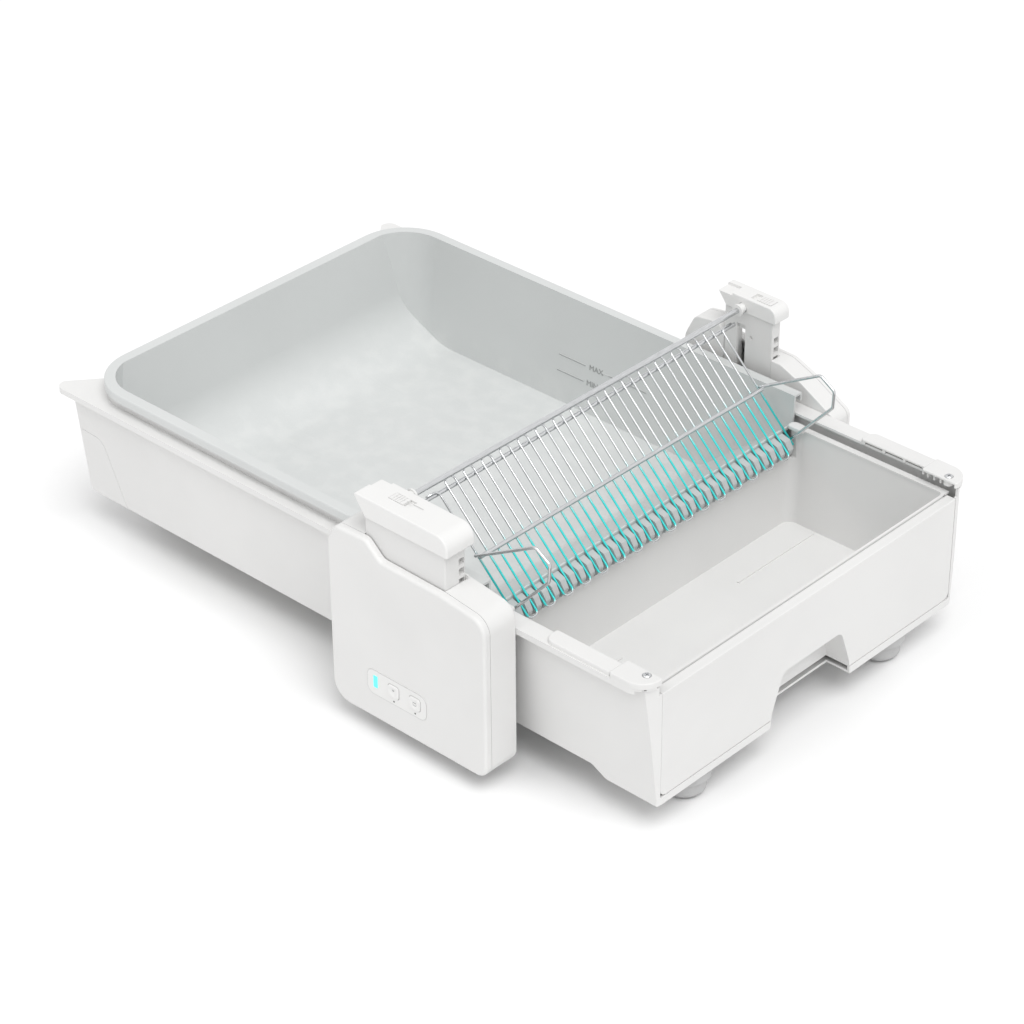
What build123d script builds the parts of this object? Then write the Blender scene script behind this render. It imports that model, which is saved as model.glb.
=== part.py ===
from build123d import *
import math
import os

os.makedirs("parts", exist_ok=True)

# Millimetres, +Z up. Working frame: x = 0 at the drawer front, y = 0 on the centre plane,
# z = 0 at the top edge of the drawer front. SHIFT moves every piece to the box-centre frame.
SHIFT = (367.5, 7.35, 148.0)

WALL = 2.5
SHELL = 2.2
GAP = 0.4
RUN_GAP = 0.05
DRAFT = 5.0

# Base
FLOOR_Z = -148.0
REAR_X = -735.0
FLANGE_TOP = 10.0
FLANGE_THICK = 2.5
LIP_TALL = 6.0
LIP_THICK = 2.0
TUB_REAR_X = REAR_X + 6.0
NOTCH_X = REAR_X + 31.0
SEAM_X = REAR_X + 49.5
WELL_REAR_X = REAR_X + 36.5
BEHIND = REAR_X - 45.0
NOTCH_HALF = 178.0
BASE_BOTTOM = -106.0
SILL_BOTTOM = -115.0
FRONT_CORNER_R = 25.0
UPSTAND_THICK = 2.5
PAD_START_X = -112.0
PAD_END_X = -39.5
PAD_TOP = 14.5
CAP_START_X = -39.0
CAP_TOP = 15.5
FRONT_FOOT_X = -28.0
REAR_FOOT_X = REAR_X + 63.0
FOOT_Y = 136.0

# Litter pan
PAN_RIM_REAR_X = REAR_X + 28.5
PAN_RIM_TOP = 28.7
PAN_RIM_WIDTH = 10.7
PAN_SKIRT_BOTTOM = 20.0
PAN_THICK = 2.2
PAN_FLOOR = -90.0
PAN_LIP_X = -189.0
PAN_LIP_Z = -0.9
PAN_DRAFT = 2.4
PAN_CORNER_R = 44.0
PAN_REAR_FILLET = 60.0
PAN_REAR_SLOPE = 17.8
RAMP_FOOT_X = -296.0

# Sieve
WIRE_R = 1.0
WIRE_PITCH = 11.4
WIRE_BEND = 3.2
ROD_X = -268.0
ROD_Z = 85.0
ROD_R = 2.6
LOWER_ROD_R = 2.0
CROSSBAR_R = 2.0
TINE_TOP = (-269.5, 81.5)
TINE_TIP = (-170.0, -17.0)
GUARD_R = 1.5
WELD = 0.1
SLEEVE_R = 4.5

# Drawer
DRAWER_BOTTOM = -107.0
RECESS_TOP = -63.0
RECESS_HALF_TOP = 40.0
RECESS_HALF_LOW = 54.0
RECESS_DEPTH = 26.0
BIN_REAR_X = -188.2
BIN_FRONT_X = -10.0
BIN_BOTTOM = -101.0
DRAWER_SCREWS = (-134.0, -70.0, 70.0, 134.0)

# Gantry
TOWER_BOTTOM = -128.5
COLUMN_X = (-288.0, -194.0)
FAR_COLUMN_X = (-290.0, -233.0)
COLUMN_TOP = 88.0
COLUMN_FOOT = -18.0
LADDER_PITCH = 10.0
LADDER_TEETH = 6
LIFT_PINION_Z = 20.0

# Travel drive
SHAFT_X = -229.0
SHAFT_Z = -118.5
SHAFT_R = 3.0
PINION_TEETH = 8
PINION_MODULE = 1.5
BEAM_X = (-262.0, -196.0)
BEAM_TOP = -114.6

# Control panel
LED_X = -273.7
LED_Z = -88.0
LED_WIDE = 4.6
LED_TALL = 12.0
BUTTONS = (-251.6, -225.9)
BUTTON_HALF = 6.4
PANEL_DEEP = 0.5

# Half widths from the centre plane, worked outwards from the drawer
DRAWER_HALF = 200.0
BIN_HALF = DRAWER_HALF + 3.0
TUB_HALF = DRAWER_HALF + 14.6
FLANGE_HALF = TUB_HALF + 8.1
FLANGE_INNER_HALF = TUB_HALF - 8.1
PAN_RIM_HALF = TUB_HALF + GAP
TOWER_INNER = FLANGE_HALF + GAP
RACK_HALF = DRAWER_HALF - 8.0
REACH = FLANGE_HALF + 60.0
WIRE_COUNT = 2 * int((DRAWER_HALF - 6.0) / WIRE_PITCH)


def near_y(depth):
    """Place in the near tower, so deep from its inner wall."""
    return -(TOWER_INNER + depth)


def far_y(depth):
    """Place in the far tower, so deep from its inner wall."""
    return TOWER_INNER + depth


NEAR_SPLIT = near_y(31.5)
NEAR_FACE = near_y(38.5)
FAR_SPLIT = far_y(19.7)
FAR_FACE = far_y(25.2)
COLUMN_Y = (near_y(30.5), near_y(5.9))
FAR_COLUMN_Y = (far_y(GAP), far_y(12.3))


def outline(corners):
    """Closed face from (u, v, radius) corners, each rounded by its own radius."""
    turns = [a[0] * b[1] - b[0] * a[1] for a, b in zip(corners, corners[1:] + corners[:1])]
    if sum(turns) < 0:
        corners = corners[::-1]
    runs = []
    for i, (u, v, r) in enumerate(corners):
        here = Vector(u, v)
        if not r:
            runs.append((here, here, here))
            continue
        before = Vector(*corners[i - 1][:2])
        after = Vector(*corners[(i + 1) % len(corners)][:2])
        back = (before - here).normalized()
        ahead = (after - here).normalized()
        half = math.acos(back.dot(ahead)) / 2
        cut = r / math.tan(half)
        middle = here + (back + ahead).normalized() * (r / math.sin(half) - r)
        runs.append((here + back * cut, middle, here + ahead * cut))
    edges = []
    for i, (start, middle, end) in enumerate(runs):
        if (end - start).length > 1e-6:
            edges.append(Edge.make_three_point_arc(start, middle, end))
        following = runs[(i + 1) % len(runs)][0]
        if (following - end).length > 1e-5:
            edges.append(Edge.make_line(end, following))
    return Face(Wire(edges))


def plain(points, radius=0):
    """Closed face from (u, v) points with one radius."""
    return outline([(u, v, radius) for u, v in points])


def slab_y(face, y0, y1):
    """Side profile (x, z) pushed from y0 to y1."""
    return extrude(Plane(origin=(0, y1, 0), x_dir=(1, 0, 0), z_dir=(0, -1, 0)) * face, y1 - y0)


def slab_x(face, x0, x1):
    """Cross profile (y, z) pushed from x0 to x1."""
    return extrude(Plane(origin=(x0, 0, 0), x_dir=(0, 1, 0), z_dir=(1, 0, 0)) * face, x1 - x0)


def slab_z(face, z0, z1):
    """Plan profile (x, y) pushed from z0 to z1."""
    return extrude(Plane(origin=(0, 0, z0)) * face, z1 - z0)


def drafted(face, z_top, depth, angle):
    """Plan profile narrowing downwards from z_top; the plan is symmetric about y = 0."""
    top = Plane(origin=(0, 0, z_top), x_dir=(1, 0, 0), z_dir=(0, 0, -1))
    return extrude(top * face, depth, taper=angle)


def block(x0, x1, y0, y1, z0, z1):
    low = (Align.MIN, Align.MIN, Align.MIN)
    return Pos(x0, y0, z0) * Box(x1 - x0, y1 - y0, z1 - z0, align=low)


def bar_y(x, z, r, y0, y1):
    return Pos(x, (y0 + y1) / 2, z) * Rot(90, 0, 0) * Cylinder(r, y1 - y0)


def bar_z(x, y, r, z0, z1):
    return Pos(x, y, (z0 + z1) / 2) * Cylinder(r, z1 - z0)


def other_side(shape):
    return mirror(shape, about=Plane.XZ)


def both(shape):
    return shape + other_side(shape)


def save(shape, name):
    export_step(Pos(*SHIFT) * shape, "parts/" + name + ".step")


def screw_z(x, y, z_head, length, r=1.9):
    """Cross-recess pan head screw pointing down from its head underside."""
    head = chamfer(bar_z(x, y, r * 2, z_head, z_head + 2.0).edges().group_by(Axis.Z)[-1], 0.7)
    cross = block(x - 1.8, x + 1.8, y - 0.4, y + 0.4, z_head + 0.9, z_head + 3)
    cross += block(x - 0.4, x + 0.4, y - 1.8, y + 1.8, z_head + 0.9, z_head + 3)
    return head + bar_z(x, y, r, z_head - length, z_head) - cross


def screw_y(x, z, y_head, length, side, r=1.5):
    """Cap screw along Y; side is +1 when the head looks towards +Y."""
    head = bar_y(x, z, r * 1.9, *sorted((y_head, y_head + side * 2.0)))
    shank = bar_y(x, z, r, *sorted((y_head, y_head - side * length)))
    socket = bar_y(x, z, r, *sorted((y_head + side * 0.9, y_head + side * 2.5)))
    return head + shank - socket


# ---------------------------------------------------------------- base

def base_plan(rear_x, half, notch_x, inset):
    """Plan of the base with the two rear horns; inset moves every edge inwards."""
    rear = rear_x + inset
    side = half - inset
    horn = side - 11.0
    notch = notch_x + inset
    pocket = NOTCH_HALF - inset
    return outline([
        (20.0, -side, 0), (20.0, side, 0), (rear, side, 9.0), (rear, horn, 3.0), (notch, pocket, 6.0),
        (notch, -pocket, 6.0), (rear, -horn, 3.0), (rear, -side, 9.0),
    ])


def side_outline(rise):
    """Side view of the base: flat bottom, an S-step down to the front sill."""
    top = FLANGE_TOP - FLANGE_THICK
    return outline([
        (BEHIND, top, 0), (BEHIND, BASE_BOTTOM + rise, 0), (-73.0, BASE_BOTTOM + rise, 9.0),
        (-58.0, SILL_BOTTOM + rise, 12.0), (20.0, SILL_BOTTOM + rise, 0), (20.0, top, 0),
    ])


def front_trim(inset):
    """Upright prism that rounds the two front corners of the base."""
    reach = TUB_HALF + 20
    corner = FRONT_CORNER_R - inset
    side = TUB_HALF - inset + 0.4
    return slab_z(outline([
        (-inset, -side, corner), (-inset, side, corner), (-60.0, reach, 0), (BEHIND, reach, 0),
        (BEHIND, -reach, 0), (-60.0, -reach, 0),
    ]), -150.0, 40.0)


def base_body(inset):
    top = FLANGE_TOP - FLANGE_THICK
    side = TUB_HALF - inset
    rear = TUB_REAR_X + inset
    body = drafted(outline([(20.0, -side, 0), (20.0, side, 0), (rear, side, 14.0), (rear, -side, 14.0)]),
                   top, 126.0, DRAFT)
    body &= slab_z(base_plan(TUB_REAR_X - 2.0, TUB_HALF + 2.0, NOTCH_X, inset), -150.0, 40.0)
    body &= slab_y(side_outline(inset), -REACH, REACH)
    return body & front_trim(inset)


def seam_region(gap):
    """Side view of the rear lower cover behind its seam."""
    return slab_y(outline([
        (SEAM_X - 84.5, -32.0 - gap, 0), (SEAM_X - 7.1, -36.0 - gap, 7.0), (SEAM_X - gap, -42.0, 5.0),
        (SEAM_X + 26.5 - gap, -125.0, 0), (SEAM_X - 84.5, -125.0, 0),
    ]), -REACH, REACH)


def make_base():
    top = FLANGE_TOP - FLANGE_THICK
    shell = base_body(0) - base_body(WALL)
    opening = block(-14.0, 30.0, -DRAWER_HALF - GAP, DRAWER_HALF + GAP, DRAWER_BOTTOM - GAP, 60.0)
    opening += block(-14.0, 30.0, -BIN_HALF - GAP, BIN_HALF + GAP, -GAP, 60.0)
    recess = slab_x(outline([(-RECESS_HALF_LOW - 3, -130.0, 0), (RECESS_HALF_LOW + 3, -130.0, 0),
                             (RECESS_HALF_LOW, DRAWER_BOTTOM + 4, 4.0),
                             (-RECESS_HALF_LOW, DRAWER_BOTTOM + 4, 4.0)]), -RECESS_DEPTH, 30.0)
    shell -= opening + recess
    cover = shell & seam_region(GAP)
    shell -= seam_region(0)

    flange = slab_z(base_plan(REAR_X, FLANGE_HALF, NOTCH_X - 3.0, 0), FLANGE_TOP - LIP_TALL, FLANGE_TOP)
    flange -= both(block(NOTCH_X - 8.0, 30.0, FLANGE_INNER_HALF - 3, FLANGE_HALF - LIP_THICK, top - 4.0, top))
    flange &= slab_z(outline([(0, -FLANGE_HALF, 22.0), (0, FLANGE_HALF, 22.0), (BEHIND, FLANGE_HALF, 0),
                              (BEHIND, -FLANGE_HALF, 0)]), -20.0, 40.0)
    well = slab_z(outline([(WELL_REAR_X, -FLANGE_INNER_HALF, 38.0), (30.0, -FLANGE_INNER_HALF, 0),
                           (30.0, FLANGE_INNER_HALF, 0), (WELL_REAR_X, FLANGE_INNER_HALF, 38.0)]), -10.0, 60.0)
    flange -= well
    upstand_half = FLANGE_INNER_HALF + UPSTAND_THICK
    upstand_top = PAN_RIM_TOP - PAN_THICK - 0.1
    upstand_rear = WELL_REAR_X - UPSTAND_THICK
    upstand = slab_z(outline([(upstand_rear, -upstand_half, 40.5), (PAN_LIP_X - 6, -upstand_half, 0),
                              (PAN_LIP_X - 6, upstand_half, 0), (upstand_rear, upstand_half, 40.5)]),
                     top, upstand_top)
    flange += upstand - well
    body = shell + flange

    # Raised pads, hollow towards the inside with two ribs each
    pad_inner = FLANGE_INNER_HALF - 1.5
    pad_outer = FLANGE_HALF - 1.1
    pad = slab_z(outline([(PAD_START_X, pad_inner, 3.0), (PAD_START_X, pad_outer, 9.0),
                          (PAD_END_X, pad_outer, 0), (PAD_END_X, pad_inner, 0)]), FLANGE_TOP - 0.5, PAD_TOP)
    pad = fillet(pad.edges().group_by(Axis.Z)[-1], 1.2)
    for i in range(3):
        start = PAD_START_X + 5.0 + i * 23.0
        pad -= block(start, start + 20.0, pad_inner - 5.0, pad_outer - 3.1, FLANGE_TOP - 0.5, PAD_TOP - 2.0)
    body += both(pad)

    # Corner wells under the caps
    for side in (1, -1):
        low, high = sorted((side * (FLANGE_INNER_HALF - 7.5), side * (FLANGE_HALF - 5.2)))
        body -= block(CAP_START_X + 3, -5.0, low, high, top - 0.1, FLANGE_TOP + 1)

    # Bulkhead between the pan and the drawer bay, drawer guides, ribs under the pan, cover ledge
    inner = base_body(WALL - 0.2)
    extras = block(-197.0, -194.5, -REACH, REACH, -120.0, -28.0)
    for y in (50.0 - DRAWER_HALF, DRAWER_HALF - 52.0):
        extras += block(-190.0, -30.0, y, y + 2.0, -120.0, BIN_BOTTOM - 0.8)
    for x in range(int(REAR_X) + 95, -300, 110):
        extras += block(x, x + 2.0, -REACH, REACH, -120.0, PAN_FLOOR - PAN_THICK - 0.6)
    body += extras & inner
    body -= both(bar_z(FRONT_FOOT_X, FOOT_Y, 2.0, -120.0, -100.0))
    save(body, "base_tub")

    ledge = block(SEAM_X + 7.0, SEAM_X + 9.5, -REACH, REACH, -120.0, PAN_FLOOR - PAN_THICK - 0.6)
    ledge &= base_body(WALL - 0.2)
    cover = cover + ledge
    for side in (1, -1):
        cover += bar_z(REAR_FOOT_X, side * FOOT_Y, 5.0, BASE_BOTTOM, -97.0)
        cover -= bar_z(REAR_FOOT_X, side * FOOT_Y, 2.0, -120.0, -99.0)
    save(cover, "rear_cover")


def make_corner_caps():
    inner = FLANGE_INNER_HALF - 7.0
    plan = outline([(CAP_START_X, inner, 2.0), (CAP_START_X, FLANGE_HALF, 2.0), (-0.2, FLANGE_HALF, 20.0),
                    (-0.2, inner, 2.5)])
    cap = slab_z(plan, FLANGE_TOP, CAP_TOP)
    cap = fillet(cap.edges().group_by(Axis.Z)[-1], 1.2)
    cap -= slab_z(offset(plan, -2.4), FLANGE_TOP, CAP_TOP - 2.2)
    cap -= block(CAP_START_X + 2.4, -2.6, inner - 1.5, inner + 3.5, FLANGE_TOP - 1, CAP_TOP - 2.2)
    hole_x, hole_y = -13.0, inner + 6.0
    low = FLANGE_TOP - FLANGE_THICK
    boss = bar_z(hole_x, hole_y, 4.6, low, CAP_TOP - 2.0)
    for i in range(3):
        x = CAP_START_X + 5.0 + i * 7.0
        boss += block(x, x + 1.6, inner + 2.0, FLANGE_HALF - 5.9, low, CAP_TOP - 2.0)
    boss += block(CAP_START_X + 5.0, hole_x, hole_y + 3.5, hole_y + 5.1, low, CAP_TOP - 2.0)
    cap += boss
    cap -= bar_z(hole_x, hole_y, 2.0, -10.0, 30.0)
    cap -= bar_z(hole_x, hole_y, 4.1, CAP_TOP - 1.2, 30.0)
    save(cap, "far_corner_cap")
    save(other_side(cap), "near_corner_cap")
    screw = screw_z(hole_x, hole_y, CAP_TOP - 1.1, 6.5)
    save(both(screw), "corner_screws")


def make_feet():
    for name, x, top in (("front_feet", FRONT_FOOT_X, SILL_BOTTOM), ("rear_feet", REAR_FOOT_X, BASE_BOTTOM)):
        drop = FLOOR_Z
        profile = outline([(0, top, 0), (24.0, top, 0), (24.0, drop + 19.0, 3.0), (19.5, drop + 17.0, 1.5),
                           (19.5, drop + 5.0, 5.0), (14.0, drop, 2.0), (0, drop, 0)])
        foot = revolve(Plane.XZ * profile, Axis.Z)
        foot -= Pos(0, 0, drop) * Cylinder(9.0, 3.0)
        foot += bar_z(0, 0, 1.9, top - 0.2, top + 5.0)
        save(both(Pos(x, FOOT_Y, 0) * foot), name)


def pan_side(grow):
    """Side view of the pan cavity, or of its outside when grow is the wall thickness."""
    top = PAN_RIM_TOP + 10
    ramp = math.atan2(PAN_LIP_Z - PAN_FLOOR, PAN_LIP_X - RAMP_FOOT_X)
    drop = grow / math.cos(ramp)
    rear = PAN_RIM_REAR_X + PAN_RIM_WIDTH - grow
    return outline([
        (PAN_LIP_X, top, 0), (PAN_LIP_X, PAN_LIP_Z - drop, 0),
        (RAMP_FOOT_X + grow * math.tan(ramp / 2), PAN_FLOOR - grow, 24.0),
        (rear + PAN_REAR_SLOPE, PAN_FLOOR - grow, PAN_REAR_FILLET + grow), (rear, top, 0),
    ])


def pan_plan(grow):
    half = PAN_RIM_HALF - PAN_RIM_WIDTH + grow
    rear = PAN_RIM_REAR_X + PAN_RIM_WIDTH - grow
    return outline([(20.0, -half, 0), (20.0, half, 0), (rear, half, PAN_CORNER_R + grow),
                    (rear, -half, PAN_CORNER_R + grow)])


def make_pan():
    def cavity(grow):
        tapered = drafted(pan_plan(grow), PAN_RIM_TOP + 0.01, 130.0, PAN_DRAFT)
        return tapered & slab_y(pan_side(grow), -REACH, REACH)

    rim_corner = PAN_CORNER_R + PAN_RIM_WIDTH

    def rim_plan(inset):
        half = PAN_RIM_HALF - inset
        rear = PAN_RIM_REAR_X + inset
        return outline([(PAN_LIP_X, -half, 0), (PAN_LIP_X, half, 0), (rear, half, rim_corner - inset),
                        (rear, -half, rim_corner - inset)])

    rim = slab_z(rim_plan(0), PAN_SKIRT_BOTTOM, PAN_RIM_TOP)
    rim = fillet(rim.edges().group_by(Axis.Z)[-1].filter_by_position(Axis.X, BEHIND, PAN_LIP_X - 1), 1.5)
    rim -= slab_z(rim_plan(PAN_THICK - 0.3), PAN_SKIRT_BOTTOM - 1, PAN_RIM_TOP - PAN_THICK)
    cut = slab_z(pan_plan(0), PAN_SKIRT_BOTTOM - 1, PAN_RIM_TOP + 5)
    pan = (rim - cut) + (cavity(PAN_THICK) - cavity(0))
    bead_half = PAN_RIM_HALF - PAN_RIM_WIDTH - 2.8
    bead = bar_y(PAN_LIP_X - 1.4, PAN_LIP_Z - 1.4, 1.4, -bead_half, bead_half)
    pan += bead
    for x0, z, length in ((-480.0, -38.0, 36.0), (-425.0, -38.0, 60.0), (-482.0, -56.0, 36.0)):
        for side in (1, -1):
            y = side * (PAN_RIM_HALF - PAN_RIM_WIDTH - (PAN_RIM_TOP - z) * math.tan(math.radians(PAN_DRAFT)))
            pan += block(x0, x0 + length, *sorted((y - side * 0.35, y + side * 0.5)), z - 0.6, z + 0.6)
    save(pan, "litter_pan")


def wire_y(index):
    return (index - (WIRE_COUNT - 1) / 2) * WIRE_PITCH


def make_comb():
    profile = outline([
        (-193.9, -9.0, 0.6), (-188.6, -9.0, 0), (-188.6, -2.6, 0.8), (-178.5, -5.5, 3.0),
        (-173.6, -14.0, 3.0), (-176.5, -21.5, 3.0), (-188.0, -26.5, 1.5), (-193.9, -26.5, 0.6),
    ])
    half = -wire_y(0) - 1.7
    comb = slab_y(profile, -half, half)
    for i in range(1, WIRE_COUNT - 1):
        y = wire_y(i)
        slot = slab_z(plain([(-188.4, y - 1.6), (-170.0, y - 3.1), (-170.0, y + 3.1), (-188.4, y + 1.6)]),
                      -40.0, 10.0)
        comb -= slot
    save(comb, "scraper_comb")


# ---------------------------------------------------------------- sieve

def along(distance, lift=0.0):
    """Point at a distance down the tine line, lifted square to it."""
    run = TINE_TIP[0] - TINE_TOP[0]
    fall = TINE_TIP[1] - TINE_TOP[1]
    length = math.hypot(run, fall)
    unit = (run / length, fall / length)
    return (TINE_TOP[0] + unit[0] * distance - unit[1] * lift,
            TINE_TOP[1] + unit[1] * distance + unit[0] * lift)


def wire_path(points, r=WIRE_R, bend=0.0):
    """Round wire swept along 3-D points with equal bends."""
    if bend:
        spine = FilletPolyline(*points, radius=bend)
    else:
        spine = Polyline(*points)
    start = Plane(origin=points[0], z_dir=Vector(*points[1]) - Vector(*points[0]))
    return sweep(start * Circle(r), path=spine)


def make_sieve():
    length = math.hypot(TINE_TIP[0] - TINE_TOP[0], TINE_TIP[1] - TINE_TOP[1])
    run = Vector(*[TINE_TIP[0] - TINE_TOP[0], 0, TINE_TIP[1] - TINE_TOP[1]]).normalized()
    plane = Plane(origin=(TINE_TOP[0], 0, TINE_TOP[1]), x_dir=run, z_dir=run.cross(Vector(0, 1, 0)))
    bend = WIRE_PITCH / 2
    turn = [(length - WIRE_BEND, bend, 0), (length, bend - WIRE_BEND, 0), (length, WIRE_BEND - bend, 0),
            (length - WIRE_BEND, -bend, 0)]
    start = (length / 2, bend, 0)
    path = Polyline(start, *turn, *[(length - x, -y, 0) for x, y, z in turn], start)
    section = Plane(origin=start, z_dir=(1, 0, 0)) * Circle(WIRE_R)
    loop = plane * sweep(section, path=path, transition=Transition.RIGHT)
    tines = Part() + [Pos(0, wire_y(i) + bend, 0) * loop for i in range(1, WIRE_COUNT - 1, 2)]
    end_y = -wire_y(0)
    foot = along(length - 8.0)
    head = along(6.0)
    end_wire = wire_path([(foot[0], end_y, foot[1]), (head[0], end_y, head[1]),
                          (head[0], end_y + 14.0, head[1])], bend=5.0)
    tines += both(end_wire)
    save(tines, "sieve_tines")

    crossbar_at = along(73.0, WIRE_R + CROSSBAR_R - WELD)
    save(bar_y(*crossbar_at, CROSSBAR_R, -end_y - WIRE_R, end_y + WIRE_R), "sieve_crossbar")
    lower_at = along(8.0, -(WIRE_R + LOWER_ROD_R - WELD))
    save(bar_y(*lower_at, LOWER_ROD_R, near_y(-15.1), far_y(-15.1)), "lower_rod")

    rod = bar_y(ROD_X, ROD_Z, ROD_R, near_y(11.9), far_y(5.9))
    rod = chamfer(rod.edges().filter_by(GeomType.CIRCLE), 0.6)
    save(rod, "pivot_rod")
    sleeve = bar_y(ROD_X, ROD_Z, SLEEVE_R, far_y(-8.1), far_y(4.4))
    sleeve += bar_y(ROD_X, ROD_Z, SLEEVE_R + 1.4, far_y(-9.1), far_y(-7.1))
    sleeve -= bar_y(ROD_X, ROD_Z, ROD_R + 0.02, far_y(-13.1), far_y(6.9))
    near = bar_y(ROD_X, ROD_Z, SLEEVE_R, near_y(10.4), near_y(-7.1))
    near += bar_y(ROD_X, ROD_Z, SLEEVE_R + 1.4, near_y(-6.1), near_y(-8.1))
    near -= bar_y(ROD_X, ROD_Z, ROD_R + 0.02, near_y(16.9), near_y(-13.1))
    save(sleeve + near, "rod_sleeves")

    guard_y = end_y + WIRE_R + GUARD_R - WELD
    foot = along(length - 14.0)
    joint = along(70.0)
    guard = wire_path([(joint[0], guard_y, joint[1]), (-150.0, guard_y, 72.0), (-133.5, guard_y, 61.5),
                       (-134.5, guard_y, 44.0), (foot[0], guard_y, foot[1])], GUARD_R, 4.5)
    save(guard, "far_side_guard")
    save(other_side(guard), "near_side_guard")


# ---------------------------------------------------------------- drawer

def make_drawer():
    def bin_solid(inset):
        plan = outline([(BIN_FRONT_X - inset, -BIN_HALF + 3.4 + inset, 6.0),
                        (BIN_FRONT_X - inset, BIN_HALF - 3.4 - inset, 6.0),
                        (BIN_REAR_X + inset, BIN_HALF - 3.4 - inset, 14.0),
                        (BIN_REAR_X + inset, -BIN_HALF + 3.4 + inset, 14.0)])
        solid = drafted(plan, 2.0, 2.0 - BIN_BOTTOM - inset, 2.0)
        pocket = block(-RECESS_DEPTH - 9.0 - inset, 10.0, -66.0 - inset, 66.0 + inset, -130.0, -52.0 + inset)
        return solid - pocket

    bin_body = bin_solid(0) - bin_solid(SHELL)
    # Rear wall stays under the tine tips; side walls and rear lobes stand outside the guards
    bin_body -= block(BIN_REAR_X - 5, BIN_REAR_X + 34.0, 25.0 - BIN_HALF, BIN_HALF - 25.0, -29.0, 20.0)
    bin_body -= block(BIN_REAR_X - 5, BIN_REAR_X + 62.0, 7.6 - BIN_HALF, BIN_HALF - 7.6, -29.0, 20.0)
    rim = block(-176.0, BIN_FRONT_X, BIN_HALF - 6.4, BIN_HALF, 0.0, 2.0)
    rim = rim - block(-180.0, -5.0, BIN_HALF - 13.0, BIN_HALF - 5.0, -2.0, 0.0)
    lobe = slab_z(outline([(-187.8, BIN_HALF - 10.0, 3.0), (-187.8, BIN_HALF, 6.0), (-170.0, BIN_HALF, 6.0),
                           (-170.0, BIN_HALF - 10.0, 3.0)]), 0.0, 4.0)
    lobe = fillet(lobe.edges().group_by(Axis.Z)[-1], 1.5)
    bin_body += both(rim + lobe)
    for x in (-150.0, -95.0, -40.0):
        bin_body += both(block(x, x + 2.0, 80.0, BIN_HALF - 13.0, BIN_BOTTOM, BIN_BOTTOM + 3.4))
    for y in DRAWER_SCREWS:
        bin_body -= Pos(-12.0, y, -24.0) * Rot(0, 90, 0) * Cylinder(1.6, 8.0)
    save(bin_body, "waste_bin")

    def recess_face(grow):
        low = RECESS_HALF_LOW + grow
        high = RECESS_HALF_TOP + grow
        return outline([(-low - 1.0, -130.0, 0), (low + 1.0, -130.0, 0), (low, DRAWER_BOTTOM + 6, 8.0),
                        (high, RECESS_TOP + grow, 9.0), (-high, RECESS_TOP + grow, 9.0),
                        (-low, DRAWER_BOTTOM + 6, 8.0)])

    outer = outline([(-DRAWER_HALF, 0, 1.0), (DRAWER_HALF, 0, 1.0), (DRAWER_HALF, DRAWER_BOTTOM, 7.0),
                     (-DRAWER_HALF, DRAWER_BOTTOM, 7.0)])
    front = slab_x(outer, -9.5, 0.0)
    front = fillet(front.edges().group_by(Axis.X)[-1], 1.2)
    front -= slab_x(offset(outer, -SHELL), -10.0, -SHELL)
    pocket = slab_x(recess_face(SHELL), -RECESS_DEPTH - SHELL, -SHELL / 2)
    pocket &= block(-40, 0, -80, 80, DRAWER_BOTTOM, 0)
    front += pocket
    front -= slab_x(recess_face(0), -RECESS_DEPTH, 20.0)
    for y in (-160.0, -110.0, 108.0, 158.0):
        front += block(-9.4, -SHELL + 0.1, y, y + 2.0, DRAWER_BOTTOM + 2.0, -2.0)
    for y in DRAWER_SCREWS:
        front += Pos(-(SHELL + 9.6) / 2, y, -24.0) * Rot(0, 90, 0) * Cylinder(4.0, 9.6 - SHELL)
        front -= Pos(-7.0, y, -24.0) * Rot(0, 90, 0) * Cylinder(1.3, 8.0)
    save(front, "drawer_front")

    screws = Part()
    for y in DRAWER_SCREWS:
        at = Pos(0, y, -24.0) * Rot(0, 90, 0)
        screws += Pos(-14.3, 0, 0) * at * Cylinder(3.0, 2.0) + Pos(-9.0, 0, 0) * at * Cylinder(1.28, 10.0)
    save(screws, "drawer_screws")


# ---------------------------------------------------------------- gantry

def near_profile():
    return outline([
        (-142.4, TOWER_BOTTOM, 12.0), (-142.4, 33.0, 17.0), (-193.0, 39.4, 14.0), (-264.0, 41.0, 9.0),
        (-281.0, 56.0, 9.0), (-318.0, 55.0, 9.0), (-328.0, 38.0, 14.0), (-328.0, TOWER_BOTTOM, 20.0),
    ])


def far_profile():
    return outline([
        (-156.0, TOWER_BOTTOM, 12.0), (-156.0, 8.0, 10.0), (-196.0, 30.5, 20.0), (-222.0, 41.0, 14.0),
        (-288.0, 42.0, 5.0), (-297.0, 58.0, 9.0), (-326.0, 54.0, 10.0), (-338.0, 30.0, 24.0),
        (-338.0, TOWER_BOTTOM, 20.0),
    ])


def beam_mouth(side):
    """Opening in a tower's inner wall for the beam end and the cross shaft."""
    low, high = sorted((side * (TOWER_INNER - 1), side * (TOWER_INNER + SHELL + 0.5)))
    return block(BEAM_X[0] + 4, BEAM_X[1] - 4, low, high, TOWER_BOTTOM + SHELL, BEAM_TOP)


def yoke_holes(side):
    y = side * far_y(5.9)
    return bar_z(-250.0, y, 1.55, -135.0, -115.0) + bar_z(-208.0, y, 1.55, -135.0, -115.0)


def vents(y0, y1):
    """Row of slots through the bottom of a tower."""
    cut = Part()
    for i in range(5):
        x = -186.0 + i * 7.0
        cut += block(x, x + 3.0, y0, y1, TOWER_BOTTOM - 1, TOWER_BOTTOM + SHELL + 1)
    return cut


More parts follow.
